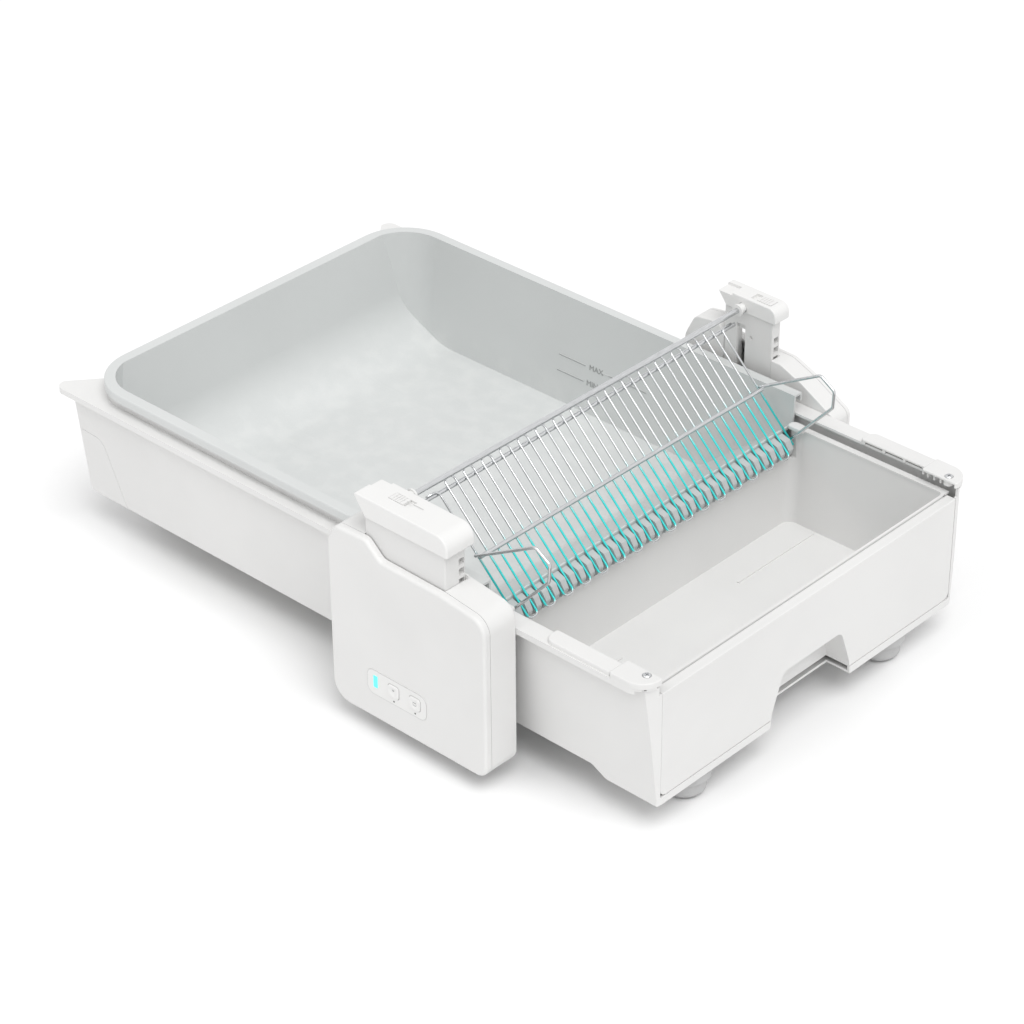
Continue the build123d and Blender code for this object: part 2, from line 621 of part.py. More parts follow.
def make_near_tower():
    profile = near_profile()
    hollow = offset(profile, -SHELL)
    rear = slab_y(profile, NEAR_SPLIT + GAP, -TOWER_INNER)
    rear = fillet(rear.edges().group_by(Axis.Y)[-1], 1.0)
    rear -= slab_y(hollow, NEAR_SPLIT - 1, -TOWER_INNER - SHELL)
    rear -= block(COLUMN_X[0] - GAP, COLUMN_X[1] + GAP, NEAR_SPLIT - 1, COLUMN_Y[1] + GAP, 30.0, 70.0)
    rear -= beam_mouth(-1) + vents(near_y(26.9), near_y(4.9))
    rear -= block(-330.0, -312.0, near_y(23.0), near_y(10.8), -98.1, -85.9)
    rear -= yoke_holes(-1)
    rear += block(COLUMN_X[0] - 2.2, COLUMN_X[1] + 2.2, COLUMN_Y[1] + GAP, COLUMN_Y[1] + 2.0, 34.0, 43.5)
    bosses = Part()
    spots = ((-152.0, -116.0), (-152.0, 16.0), (-316.0, -108.0), (-316.0, 36.0))
    for x, z in spots:
        bosses += bar_y(x, z, 4.0, NEAR_SPLIT + 1.0, near_y(SHELL - 0.5))
    rear += bosses & slab_y(profile, NEAR_SPLIT + GAP, -TOWER_INNER)
    for x, z in spots:
        rear -= bar_y(x, z, 1.3, NEAR_SPLIT, near_y(16.9))
    save(rear, "near_tower_shell")

    cover = slab_y(profile, NEAR_FACE, NEAR_SPLIT)
    cover = fillet(cover.edges().group_by(Axis.Y)[0], 3.0)
    cover -= slab_y(hollow, NEAR_FACE + SHELL, NEAR_SPLIT + 1)
    panel = plain([(-284.0, -102.0), (-212.0, -102.0), (-212.0, -76.0), (-284.0, -76.0)], 8.0)
    cover -= slab_y(offset(panel, 0.2), NEAR_FACE - 1, NEAR_FACE + PANEL_DEEP) + panel_holes()
    save(cover, "near_tower_cover")

    save(slab_y(panel, NEAR_FACE - 0.2, NEAR_FACE + PANEL_DEEP) - panel_holes(), "control_panel")


def button_plan(x, grow):
    half = BUTTON_HALF + grow
    low = LED_Z - half
    high = LED_Z + half
    return plain([(x - half, low), (x + half, low), (x + half, high), (x - half, high)], 3.0)


def led_bar(grow, y0, y1):
    wide = LED_WIDE / 2 + grow
    tall = LED_TALL / 2 + grow
    return block(LED_X - wide, LED_X + wide, y0, y1, LED_Z - tall, LED_Z + tall)


def panel_holes():
    """Cuts for the buttons and the light, through panel and cover."""
    holes = led_bar(0.2, NEAR_FACE - 1, NEAR_FACE + 4)
    for x in BUTTONS:
        holes += slab_y(button_plan(x, 0.35), NEAR_FACE - 1, NEAR_FACE + 4)
    return holes


def make_panel_parts():
    light = fillet(led_bar(0, NEAR_FACE - 0.5, NEAR_SPLIT + 0.4).edges().filter_by(Axis.Y), 1.2)
    light += led_bar(1.6, NEAR_FACE + SHELL + 0.1, NEAR_SPLIT - 3.0)
    save(light, "led_light_pipe")
    for name, x in zip(("button_clean", "button_power"), BUTTONS):
        cap = slab_y(button_plan(x, 0), NEAR_FACE - 1.4, NEAR_FACE + SHELL + 1.2)
        cap = fillet(cap.edges().group_by(Axis.Y)[0], 0.8)
        cap -= Pos(x, NEAR_FACE - 11.6, LED_Z) * Sphere(11.0)
        behind = NEAR_FACE + SHELL
        cap += block(x - 7.6, x + 7.6, behind + 0.3, behind + 1.3, LED_Z - 7.6, LED_Z + 7.6)
        cap += bar_y(x, LED_Z, 2.0, behind, NEAR_FACE + 5.2)
        save(cap, name)
    board = block(-288.0, -208.0, near_y(30.6), near_y(29.0), -99.5, -76.0)
    for x in BUTTONS:
        board += block(x - 3, x + 3, near_y(31.7), near_y(30.5), LED_Z - 3, LED_Z + 3)
        board += bar_y(x, LED_Z, 1.6, near_y(31.9), near_y(30.9))
    board += block(LED_X - 1.6, LED_X + 1.6, near_y(30.9), near_y(30.4), LED_Z - 2, LED_Z + 2)
    board += block(-240.0, -226.0, near_y(29.1), near_y(26.4), -97.0, -83.0)
    board += block(-284.0, -262.0, near_y(29.1), near_y(22.9), -82.0, -77.0)
    save(board, "control_board")
    inlet_y = near_y(16.9)
    inlet = Pos(-328.9, inlet_y, -92.0) * Rot(0, 90, 0) * Cylinder(6.6, 1.6)
    inlet += block(-328.2, -314.0, inlet_y - 6.0, inlet_y + 6.0, -98.0, -86.0)
    inlet -= Pos(-323.0, inlet_y, -92.0) * Rot(0, 90, 0) * Cylinder(2.8, 16.0)
    inlet += Pos(-321.0, inlet_y, -92.0) * Rot(0, 90, 0) * Cylinder(0.9, 14.0)
    save(inlet, "power_inlet")


def make_far_tower():
    profile = far_profile()
    hollow = offset(profile, -SHELL)
    split = FAR_SPLIT
    inner = slab_y(profile, TOWER_INNER, split - GAP)
    inner = fillet(inner.edges().group_by(Axis.Y)[0], 1.0)
    inner -= slab_y(hollow, TOWER_INNER + SHELL, split + 1)
    inner -= block(FAR_COLUMN_X[0] - GAP, FAR_COLUMN_X[1] + GAP, TOWER_INNER - 1, FAR_COLUMN_Y[1] + GAP,
                   COLUMN_FOOT - 40.0, 70.0)
    inner -= beam_mouth(1) + vents(far_y(4.9), far_y(14.9)) + yoke_holes(1)
    spots = ((-168.0, -114.0), (-168.0, -6.0), (-326.0, -106.0), (-318.0, 34.0))
    bosses = Part()
    for x, z in spots:
        bosses += bar_y(x, z, 4.0, TOWER_INNER + SHELL - 0.5, split - 1.0)
    inner += bosses
    for x, z in spots:
        inner -= bar_y(x, z, 1.3, far_y(8.9), split)
    save(inner, "far_tower_shell")
    cover = slab_y(profile, split, FAR_FACE)
    cover = fillet(cover.edges().group_by(Axis.Y)[-1], 3.0)
    cover -= slab_y(hollow, split - 1, FAR_FACE - SHELL)
    for x, z in spots:
        cover -= bar_y(x, z, 1.8, split - 5, FAR_FACE + 1)
        cover -= bar_y(x, z, 3.2, FAR_FACE - 1.2, FAR_FACE + 1)
    save(cover, "far_tower_cover")
    screws = Part()
    for x, z in spots:
        screws += screw_y(x, z, FAR_FACE - 1.1, 9.0, 1, 1.28)
    save(screws, "far_tower_screws")


def make_yoke():
    low = TOWER_BOTTOM + 0.2
    beam = block(*BEAM_X, -TOWER_INNER + GAP, TOWER_INNER - GAP, low, BEAM_TOP)
    beam = fillet(beam.edges().filter_by(Axis.Y).group_by(Axis.Z)[0], 2.0)
    beam -= block(BEAM_X[0] + 2.2, BEAM_X[1] - 2.2, -TOWER_INNER, TOWER_INNER, low + 2.2, BEAM_TOP + 5)
    tenon_z = TOWER_BOTTOM + SHELL + 0.1
    beam += block(BEAM_X[0] + 6, BEAM_X[1] - 6, near_y(9.9), far_y(9.9), tenon_z, tenon_z + 2.4)
    for y in (-RACK_HALF - 20.0, -RACK_HALF + 12.0, RACK_HALF - 20.0, RACK_HALF + 12.0):
        beam += block(SHAFT_X - 7.0, SHAFT_X + 7.0, y, y + 8.0, low + 2.0, BEAM_TOP)
        beam += block(BEAM_X[0] + 2, BEAM_X[1] - 2, y + 3.0, y + 5.0, low + 2.0, SHAFT_Z)
    beam -= bar_y(SHAFT_X, SHAFT_Z, SHAFT_R + RUN_GAP, near_y(16.9), far_y(16.9))
    beam -= block(SHAFT_X - 9.0, SHAFT_X + 9.0, near_y(12.9), near_y(3.4), -140.0, -110.0)
    beam -= yoke_holes(1) + yoke_holes(-1)
    beam -= both(block(SHAFT_X - 9.0, SHAFT_X + 9.0, RACK_HALF - 5.0, RACK_HALF + 5.0, low + 2.2, -110.0))
    save(beam, "yoke_beam")
    screws = Part()
    for side in (1, -1):
        for x in (-250.0, -208.0):
            screws += screw_z(x, side * far_y(5.9), tenon_z + 2.4, 4.4, 1.5)
    save(screws, "yoke_screws")


def gear_face(teeth, module, turn=0.0, thin=0.95):
    """Straight-flanked gear outline; a tooth points along +v when turn is 0."""
    pitch_r = teeth * module / 2
    points = []
    for i in range(teeth):
        middle = math.pi / 2 + math.radians(turn) - i * 2 * math.pi / teeth
        for radius, half in ((pitch_r * 0.76, 1.35), (pitch_r, thin), (pitch_r + module * 0.74, 0.5)):
            points.append((radius, middle + half / radius))
        for radius, half in ((pitch_r + module * 0.74, 0.5), (pitch_r, thin), (pitch_r * 0.76, 1.35)):
            points.append((radius, middle - half / radius))
    return plain([(r * math.cos(a), r * math.sin(a)) for r, a in points])


def gear(x, z, y0, y1, turn, bore):
    body = slab_y(gear_face(PINION_TEETH, PINION_MODULE, turn), y0, y1)
    return Pos(x, 0, z) * body - bar_y(x, z, bore, y0 - 1, y1 + 1)


def make_travel_drive():
    shaft = bar_y(SHAFT_X, SHAFT_Z, SHAFT_R, near_y(18.9), far_y(18.9))
    shaft = chamfer(shaft.edges().filter_by(GeomType.CIRCLE), 0.4)
    save(shaft, "cross_shaft")
    width = 8.0
    pinions = gear(SHAFT_X, SHAFT_Z, RACK_HALF - width / 2, RACK_HALF + width / 2, 0.0, SHAFT_R + 0.01)
    pinions = both(pinions)
    pinions += gear(SHAFT_X, SHAFT_Z, near_y(12.4), near_y(5.4), 0.0, SHAFT_R + 0.01)
    save(pinions, "travel_pinions")

    pitch = math.pi * PINION_MODULE
    pitch_z = SHAFT_Z + PINION_TEETH * PINION_MODULE / 2
    root_z = pitch_z + 1.5
    tip_z = pitch_z - 1.1
    points = [(-204.0, BASE_BOTTOM - 0.1), (-204.0, root_z)]
    for i in range(90):
        middle = SHAFT_X + 4.5 * pitch - i * pitch
        points += [(middle + 1.55, root_z), (middle + 0.6, tip_z)]
        points += [(middle - 0.6, tip_z), (middle - 1.55, root_z)]
    last = points[-1][0] - 3.0
    points += [(last, root_z), (last, BASE_BOTTOM - 0.1)]
    rack = slab_y(plain(points), RACK_HALF - 5.0, RACK_HALF + 5.0)
    save(rack, "far_travel_rack")
    save(other_side(rack), "near_travel_rack")

    motor_x = SHAFT_X - 12.0 * math.sin(math.radians(45))
    motor_z = SHAFT_Z + 12.0 * math.cos(math.radians(45))
    can = bar_y(motor_x, motor_z, 9.0, near_y(34.9), near_y(22.4))
    can = chamfer(can.edges().filter_by(GeomType.CIRCLE), 0.8)
    can += bar_y(motor_x, motor_z, 3.0, near_y(22.5), near_y(20.9))
    can += block(motor_x - 12.0, motor_x + 12.0, near_y(22.9), near_y(21.9), motor_z - 4.0, motor_z + 4.0)
    save(can, "travel_motor")
    drive = bar_y(motor_x, motor_z, 1.2, near_y(20.7), near_y(5.9))
    drive += gear(motor_x, motor_z, near_y(12.4), near_y(5.4), 180.0 / PINION_TEETH, 1.0)
    save(drive, "motor_pinion")


def ladder_cuts(x_face, y0, y1, z0, z1):
    cuts = Part()
    count = int((z1 - z0) / LADDER_PITCH)
    for i in range(count):
        z = z0 + i * LADDER_PITCH
        cuts += block(x_face - 4.8, x_face + 1, y0, y1, z - 3.2, z + 3.2)
    return cuts


def rod_slot(y0, y1, low=ROD_Z, high=COLUMN_TOP + 20):
    width = SLEEVE_R + 0.35
    return block(ROD_X - width, ROD_X + width, y0, y1, low, high) + bar_y(ROD_X, low, width, y0, y1)


def make_columns():
    first = LIFT_PINION_Z - 3 * LADDER_PITCH
    column = block(*COLUMN_X, *COLUMN_Y, COLUMN_FOOT, COLUMN_TOP)
    column = fillet(column.edges().filter_by(Axis.Z), 1.5)
    column -= block(COLUMN_X[0] + SHELL, COLUMN_X[1] - 7.5, COLUMN_Y[0] + SHELL, COLUMN_Y[1] - SHELL,
                    COLUMN_FOOT - 1, COLUMN_TOP - SHELL)
    column -= ladder_cuts(COLUMN_X[1], near_y(13.9), near_y(7.5), first, 78.0)
    column -= rod_slot(near_y(12.9), near_y(4.9))
    save(column, "near_column")

    thin = block(*FAR_COLUMN_X, *FAR_COLUMN_Y, COLUMN_FOOT, COLUMN_TOP)
    thin = fillet(thin.edges().filter_by(Axis.Z), 1.2)
    thin -= block(FAR_COLUMN_X[0] + 12.0, FAR_COLUMN_X[1] - 7.5, FAR_COLUMN_Y[0] + 3.0, FAR_COLUMN_Y[1] + 1,
                  COLUMN_FOOT + 3, 60.0)
    thin -= ladder_cuts(FAR_COLUMN_X[1], far_y(3.3), far_y(9.9), first, 78.0)
    thin -= rod_slot(far_y(-1.1), far_y(6.4))
    thin -= block(-275.0, -265.0, far_y(-1.1), far_y(3.4), COLUMN_FOOT + 6, 66.0)
    thin -= bar_y(-258.0, 56.0, 2.0, far_y(-1.1), far_y(3.9))
    save(thin, "far_column")


def make_caps():
    shape = outline([(-300.0, 94.8, 2.5), (-188.5, 93.4, 13.0), (-188.5, 74.0, 2.0), (-285.0, 74.0, 3.0)])
    cap = slab_y(shape, near_y(33.4), near_y(-0.1))
    cap = fillet(cap.edges().group_by(Axis.Y)[0] + cap.edges().group_by(Axis.Y)[-1], 1.4)
    cap -= block(COLUMN_X[0] - 0.1, COLUMN_X[1] + 0.1, COLUMN_Y[0] - 0.1, COLUMN_Y[1] + 0.1,
                 70.0, COLUMN_TOP + 0.1)
    cap -= rod_slot(near_y(6.9), near_y(-1.1), 60.0, ROD_Z)
    cap -= bar_y(ROD_X, ROD_Z, SLEEVE_R + 0.35, near_y(12.9), near_y(-1.1))
    cap -= block(-302.0, -282.4, near_y(15.9), near_y(-1.1), 91.6, 97.0)
    cap -= block(-270.0, -246.0, near_y(19.9), near_y(8.9), 91.9, 97.0)
    save(cap, "near_cap")
    latch = block(-269.6, -253.0, near_y(19.5), near_y(9.3), 92.1, 95.0)
    latch = fillet(latch.edges().group_by(Axis.Z)[-1], 0.8)
    for i in range(4):
        latch -= block(-266.0 + i * 3.0, -264.8 + i * 3.0, near_y(20.9), near_y(7.9), 94.4, 96.0)
    save(latch, "near_cap_latch")

    shape = outline([(-300.0, 96.2, 2.5), (-229.0, 95.6, 9.0), (-229.0, 80.0, 2.0), (-288.0, 80.0, 3.0)])
    far = slab_y(shape, far_y(-1.1), far_y(19.9))
    far = fillet(far.edges().group_by(Axis.Y)[0] + far.edges().group_by(Axis.Y)[-1], 1.2)
    far -= block(FAR_COLUMN_X[0] - 0.1, FAR_COLUMN_X[1] + 0.1, FAR_COLUMN_Y[0] - 0.1, FAR_COLUMN_Y[1] + 0.1,
                 70.0, COLUMN_TOP + 0.1)
    far -= rod_slot(far_y(-2.1), far_y(0.9), 60.0, ROD_Z)
    far -= bar_y(ROD_X, ROD_Z, SLEEVE_R + 0.35, far_y(-2.1), far_y(6.4))
    far -= block(-302.0, -280.5, far_y(-2.1), far_y(12.9), 93.0, 99.0)
    far -= block(-262.0, -238.0, far_y(2.9), far_y(13.5), 93.2, 99.0)
    save(far, "far_cap")
    latch = block(-254.8, -238.4, far_y(3.3), far_y(13.1), 93.4, 96.6)
    latch = fillet(latch.edges().group_by(Axis.Z)[-1], 0.8)
    for i in range(4):
        latch -= block(-251.5 + i * 3.0, -250.3 + i * 3.0, far_y(1.9), far_y(14.9), 96.0, 98.0)
    save(latch, "far_cap_latch")


def lift_pinion(x_face, y0, y1):
    pitch_r = LADDER_TEETH * LADDER_PITCH / 2 / math.pi
    x = x_face - 1.5 + pitch_r
    wheel = bar_y(0, 0, 6.2, y0, y1)
    for i in range(LADDER_TEETH):
        finger = plain([(4.0, -1.9), (9.0, -1.7), (11.8, -0.9), (11.8, 0.9), (9.0, 1.7), (4.0, 1.9)])
        finger = slab_y(finger, y0, y1)
        wheel += Rot(0, 180 + i * 360 / LADDER_TEETH, 0) * finger
    return Pos(x, 0, LIFT_PINION_Z) * wheel, x


def make_lift_drive():
    near, near_x = lift_pinion(COLUMN_X[1], near_y(13.5), near_y(7.9))
    near += bar_y(near_x, LIFT_PINION_Z, 2.0, near_y(16.9), near_y(6.9))
    save(near, "near_lift_pinion")
    far, far_x = lift_pinion(FAR_COLUMN_X[1], far_y(3.7), far_y(9.5))
    far += bar_y(far_x, LIFT_PINION_Z, 2.0, far_y(4.4), far_y(16.9))
    save(far, "far_lift_pinion")
    near_case = slab_y(outline([(-237.0, -125.8, 5.0), (-176.0, -125.8, 8.0), (-170.0, -60.0, 10.0),
                                (-175.0, 31.0, 6.0), (-192.6, 31.0, 4.0), (-192.6, -60.0, 10.0),
                                (-218.0, -112.0, 6.0), (-237.0, -112.0, 5.0)]),
                       near_y(20.3), near_y(14.1))
    near_case -= bar_y(SHAFT_X, SHAFT_Z, SHAFT_R + RUN_GAP, near_y(19.3), near_y(6.9))
    near_case -= bar_y(near_x, LIFT_PINION_Z, 2.0 + RUN_GAP, near_y(17.4), near_y(6.9))
    for i in range(5):
        near_case -= block(-190.0, -178.0, near_y(20.9), near_y(19.1), -50.0 + i * 12.0, -44.0 + i * 12.0)
    save(near_case, "near_lift_gearbox")
    far_case = slab_y(outline([(-238.0, -126.0, 5.0), (-219.0, -126.0, 5.0), (-215.0, -60.0, 10.0),
                               (-213.0, 31.0, 7.0), (-236.0, 31.0, 7.0), (-237.0, -60.0, 10.0)]),
                      far_y(13.3), far_y(19.3))
    far_case -= bar_y(SHAFT_X, SHAFT_Z, SHAFT_R + RUN_GAP, far_y(6.9), far_y(19.2))
    far_case -= bar_y(far_x, LIFT_PINION_Z, 2.0 + RUN_GAP, far_y(6.9), far_y(17.4))
    save(far_case, "far_lift_gearbox")


def make_shoes():
    """Glide shoes that hook up behind the flange lip on both sides."""
    lip_inner = FLANGE_HALF - LIP_THICK
    shoes = Part()
    for x in (-318.0, -190.0):
        shoe = block(x, x + 26.0, TUB_HALF + 1.6, TOWER_INNER, -9.0, 3.5)
        shoe += block(x, x + 26.0, TUB_HALF + 1.6, lip_inner - 0.5, 3.0, FLANGE_TOP - FLANGE_THICK - 0.4)
        shoe = fillet(shoe.edges().filter_by(Axis.Y).group_by(Axis.Z)[0], 2.0)
        shoes += shoe
    save(shoes, "far_glide_shoes")
    save(other_side(shoes), "near_glide_shoes")


def make_all():
    make_base()
    make_corner_caps()
    make_feet()
    make_pan()
    make_comb()
    make_sieve()
    make_drawer()
    make_near_tower()
    make_panel_parts()
    make_far_tower()
    make_yoke()
    make_travel_drive()
    make_columns()
    make_caps()
    make_lift_drive()
    make_shoes()


make_all()
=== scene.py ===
import math

import bmesh
import bpy
from bpy.props import FloatProperty, FloatVectorProperty, PointerProperty, StringProperty
from mathutils import Matrix, Vector


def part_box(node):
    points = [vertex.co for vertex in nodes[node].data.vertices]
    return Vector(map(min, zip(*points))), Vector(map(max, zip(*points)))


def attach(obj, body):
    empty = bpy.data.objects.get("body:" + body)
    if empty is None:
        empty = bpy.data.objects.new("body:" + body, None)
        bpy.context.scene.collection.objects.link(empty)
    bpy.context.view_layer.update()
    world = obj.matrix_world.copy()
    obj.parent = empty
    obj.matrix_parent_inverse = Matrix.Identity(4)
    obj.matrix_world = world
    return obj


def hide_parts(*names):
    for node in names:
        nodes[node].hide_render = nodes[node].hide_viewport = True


bl_info = {
    "name": "Drawer litter box dressing",
    "version": (1, 0, 0),
    "blender": (4, 5, 0),
    "location": "View3D > Sidebar > Litter box",
    "description": "Finishes, printed marks and studio for the drawer litter box",
    "category": "Object",
}

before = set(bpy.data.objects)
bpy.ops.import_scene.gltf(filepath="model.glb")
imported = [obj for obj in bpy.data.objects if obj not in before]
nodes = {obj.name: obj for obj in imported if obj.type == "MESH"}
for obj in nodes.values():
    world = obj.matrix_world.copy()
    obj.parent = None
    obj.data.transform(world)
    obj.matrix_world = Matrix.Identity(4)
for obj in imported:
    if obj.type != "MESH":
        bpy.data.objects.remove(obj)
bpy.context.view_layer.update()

# The row frame stands this far from the drawer front, centre plane and drawer rim, in metres
ORIGIN = Vector((0.3675, 0.00735, 0.148))
PAN_WALL_Y = 0.2043
PAN_DRAFT = math.radians(2.4)
PAN_RIM_Z = 0.0287
RIB_PROUD = 0.00035
PANEL_FACE_Y = -0.2618
BUTTON_FACE_Y = -0.2630
TINE_TOP = (-0.2695, 0.0815)
TINE_TIP = (-0.1700, -0.0170)
END_WIRE_Y = 0.1881
WIRE_R = 0.0010
CAP_MARK = ((-0.2690, 0.0), (-0.2346, 0.0))
CAP_MARK_Y = -0.2365


def place(x, y, z):
    """A point of the working frame, in the row frame."""
    return Vector((x, y, z)) + ORIGIN


# ------------------------------------------------------------------ surface maths

class Value:
    """A number that varies over a surface. Arithmetic on it adds Math nodes."""

    def __init__(self, finish, socket):
        self.finish = finish
        self.socket = socket

    def _math(self, operation, *terms, clamp=False):
        node = self.finish.node("ShaderNodeMath", operation=operation, use_clamp=clamp)
        for socket, term in zip(node.inputs, terms):
            self.finish.feed(socket, term)
        return Value(self.finish, node.outputs[0])

    def __add__(self, other):
        return self._math("ADD", self, other)

    def __radd__(self, other):
        return self._math("ADD", other, self)

    def __sub__(self, other):
        return self._math("SUBTRACT", self, other)

    def __rsub__(self, other):
        return self._math("SUBTRACT", other, self)

    def __mul__(self, other):
        return self._math("MULTIPLY", self, other)

    def __rmul__(self, other):
        return self._math("MULTIPLY", other, self)

    def __truediv__(self, other):
        return self._math("DIVIDE", self, other)

    def __rtruediv__(self, other):
        return self._math("DIVIDE", other, self)

    def __pow__(self, other):
        return self._math("POWER", self, other)

    def __neg__(self):
        return self._math("MULTIPLY", self, -1.0)

    def clamped(self):
        return self._math("ADD", self, 0.0, clamp=True)

    def step(self, low, high):
        """0 below low, 1 above high, smooth between them."""
        node = self.finish.node("ShaderNodeMapRange", interpolation_type="SMOOTHSTEP")
        self.finish.feed(node.inputs["Value"], self)
        node.inputs["From Min"].default_value = low
        node.inputs["From Max"].default_value = high
        return Value(self.finish, node.outputs[0])


class Finish:
    """One material under construction, with its Principled shader."""

    def __init__(self, name, colour, roughness, **constants):
        self.material = bpy.data.materials.new(name)
        self.material.use_nodes = True
        self.material.diffuse_color = (*colour, 1.0)
        self.tree = self.material.node_tree
        self.tree.nodes.clear()
        self.shader = self.node("ShaderNodeBsdfPrincipled")
        self.shader.inputs["Base Color"].default_value = (*colour, 1.0)
        self.shader.inputs["Roughness"].default_value = roughness
        for socket, value in constants.items():
            self.shader.inputs[socket.replace("_", " ")].default_value = value
        output = self.node("ShaderNodeOutputMaterial")
        self.tree.links.new(self.shader.outputs[0], output.inputs["Surface"])
        self._place = None

    def node(self, kind, **settings):
        """Any node, with its settings."""
        made = self.tree.nodes.new(kind)
        for key, value in settings.items():
            setattr(made, key, value)
        made.location = (-220 * len(self.tree.nodes), 0)
        return made

    def feed(self, socket, term):
        if isinstance(term, Value):
            self.tree.links.new(term.socket, socket)
        elif isinstance(term, bpy.types.NodeSocket):
            self.tree.links.new(term, socket)
        else:
            socket.default_value = term

    def place(self):
        """Object coordinates, which are row-frame metres on every CAD node."""
        if self._place is None:
            self._place = self.node("ShaderNodeTexCoord").outputs["Object"]
        return self._place

    def axes(self):
        split = self.node("ShaderNodeSeparateXYZ")
        self.feed(split.inputs[0], self.place())
        return [Value(self, split.outputs[i]) for i in range(3)]

    def noise(self, scale, detail=2.0, stretch=None):
        """Noise from 0 to 1 at so many features a metre."""
        where = self.place()
        if stretch:
            mapping = self.node("ShaderNodeMapping")
            self.feed(mapping.inputs["Vector"], where)
            mapping.inputs["Scale"].default_value = stretch
            where = mapping.outputs[0]
        noise = self.node("ShaderNodeTexNoise")
        self.feed(noise.inputs["Vector"], where)
        noise.inputs["Scale"].default_value = scale
        noise.inputs["Detail"].default_value = detail
        return Value(self, noise.outputs["Fac"])

    def specks(self, scale):
        cells = self.node("ShaderNodeTexVoronoi")
        self.feed(cells.inputs["Vector"], self.place())
        cells.inputs["Scale"].default_value = scale
        return Value(self, cells.outputs["Distance"])

    def mix(self, factor, first, second):
        """Colour mix; first and second are colours or sockets."""
        mixer = self.node("ShaderNodeMix", data_type="RGBA")
        self.feed(mixer.inputs["Factor"], factor)
        for socket, colour in ((mixer.inputs[6], first), (mixer.inputs[7], second)):
            self.feed(socket, colour if isinstance(colour, bpy.types.NodeSocket) else (*colour, 1.0))
        return mixer.outputs[2]

    def colour(self, socket):
        self.feed(self.shader.inputs["Base Color"], socket)

    def roughness(self, value):
        self.feed(self.shader.inputs["Roughness"], value)

    def metallic(self, value):
        self.feed(self.shader.inputs["Metallic"], value)

    def bump(self, height, depth, strength=0.4):
        """Relief so many metres deep."""
        relief = self.node("ShaderNodeBump")
        relief.inputs["Strength"].default_value = strength
        relief.inputs["Distance"].default_value = depth
        self.feed(relief.inputs["Height"], height)
        self.feed(self.shader.inputs["Normal"], relief.outputs[0])


def shade(colour, amount):
    return tuple(max(0.0, min(1.0, channel * amount)) for channel in colour)


def dress(material, *names):
    """Gives CAD nodes one material."""
    for name in names:
        piece = nodes[name]
        piece.data.materials.clear()
        piece.data.materials.append(material)


# ------------------------------------------------------------------ finishes

def moulded_finish(name, colour, roughness, grain=0.00003):
    """Spark-eroded mould grain with slow tone changes from the moulding."""
    look = Finish(name, colour, roughness, Specular_IOR_Level=0.42)
    tone = look.noise(9.0, 3.0)
    look.colour(look.mix(tone.step(0.30, 0.70), shade(colour, 0.978), shade(colour, 1.012)))
    fine = look.noise(1500.0, 2.0)
    coarse = look.noise(420.0, 1.0)
    look.roughness(roughness + (tone - 0.5) * 0.06 + (fine - 0.5) * 0.10)
    look.bump(fine * 0.7 + coarse * 0.3, grain, 0.30)
    return look.material


def pan_finish(colour):
    """Smooth-release tray: satin walls, dusty, fine-scuffed floor and ramp."""
    look = Finish("pan_polymer", colour, 0.40, Specular_IOR_Level=0.45)
    x, y, z = look.axes()
    floor = 1.0 - z.step(0.060, 0.100)
    dust = look.noise(55.0, 5.0).step(0.38, 0.70)
    sand = 1.0 - look.specks(520.0).step(0.10, 0.45)
    scratches = look.noise(60.0, 3.0, stretch=(0.12, 6.0, 1.0)).step(0.60, 0.78)
    worn = floor * (dust * 0.55 + sand * 0.30)
    base = look.mix(look.noise(7.0, 2.0).step(0.3, 0.7), shade(colour, 0.975), shade(colour, 1.01))
    dusty = look.mix(worn * 0.30, base, shade((0.90, 0.90, 0.885), 0.94))
    look.colour(look.mix(floor * scratches * 0.10, dusty, shade(colour, 0.82)))
    fine = look.noise(1300.0, 2.0)
    look.roughness(0.38 + worn * 0.30 + scratches * floor * 0.08 + (fine - 0.5) * 0.08)
    look.bump(fine * 0.6 + sand * floor * 0.8 - scratches * floor * 0.3, 0.00005, 0.35)
    return look.material


def wire_finish(steel, tint):
    """Polished wire, coated over the lower part of the tines."""
    look = Finish("sieve_wire", steel, 0.16, Specular_IOR_Level=0.5)
    x, y, z = look.axes()
    top = place(TINE_TOP[0], 0, TINE_TOP[1])
    tip = place(TINE_TIP[0], 0, TINE_TIP[1])
    run = Vector((tip.x - top.x, tip.z - top.z))
    length = run.length
    down = (x - top.x) * (run.x / length) + (z - top.z) * (run.y / length)
    patch = (look.noise(140.0, 2.0) - 0.5) * 0.010
    coat = (down + patch).step(length * 0.44, length * 0.64) * (1.0 - down.step(length * 0.975, length * 0.995))
    drawn = look.noise(900.0, 2.0)
    bare = look.mix(drawn.step(0.3, 0.7), shade(steel, 0.90), shade(steel, 1.08))
    look.colour(look.mix(coat, bare, tint))
    look.metallic(1.0 - coat * 0.82)
    look.roughness(0.14 + (drawn - 0.5) * 0.10 + coat * 0.16)
    look.bump(drawn, 0.00002, 0.25)
    return look.material


def rod_finish(steel):
    look = Finish("rod_steel", steel, 0.2, Metallic=1.0)
    lines = look.noise(260.0, 3.0, stretch=(8.0, 0.4, 8.0))
    look.colour(look.mix(lines.step(0.3, 0.7), shade(steel, 0.86), shade(steel, 1.05)))
    look.roughness(0.16 + lines * 0.14)
    look.bump(lines, 0.00002, 0.3)
    return look.material


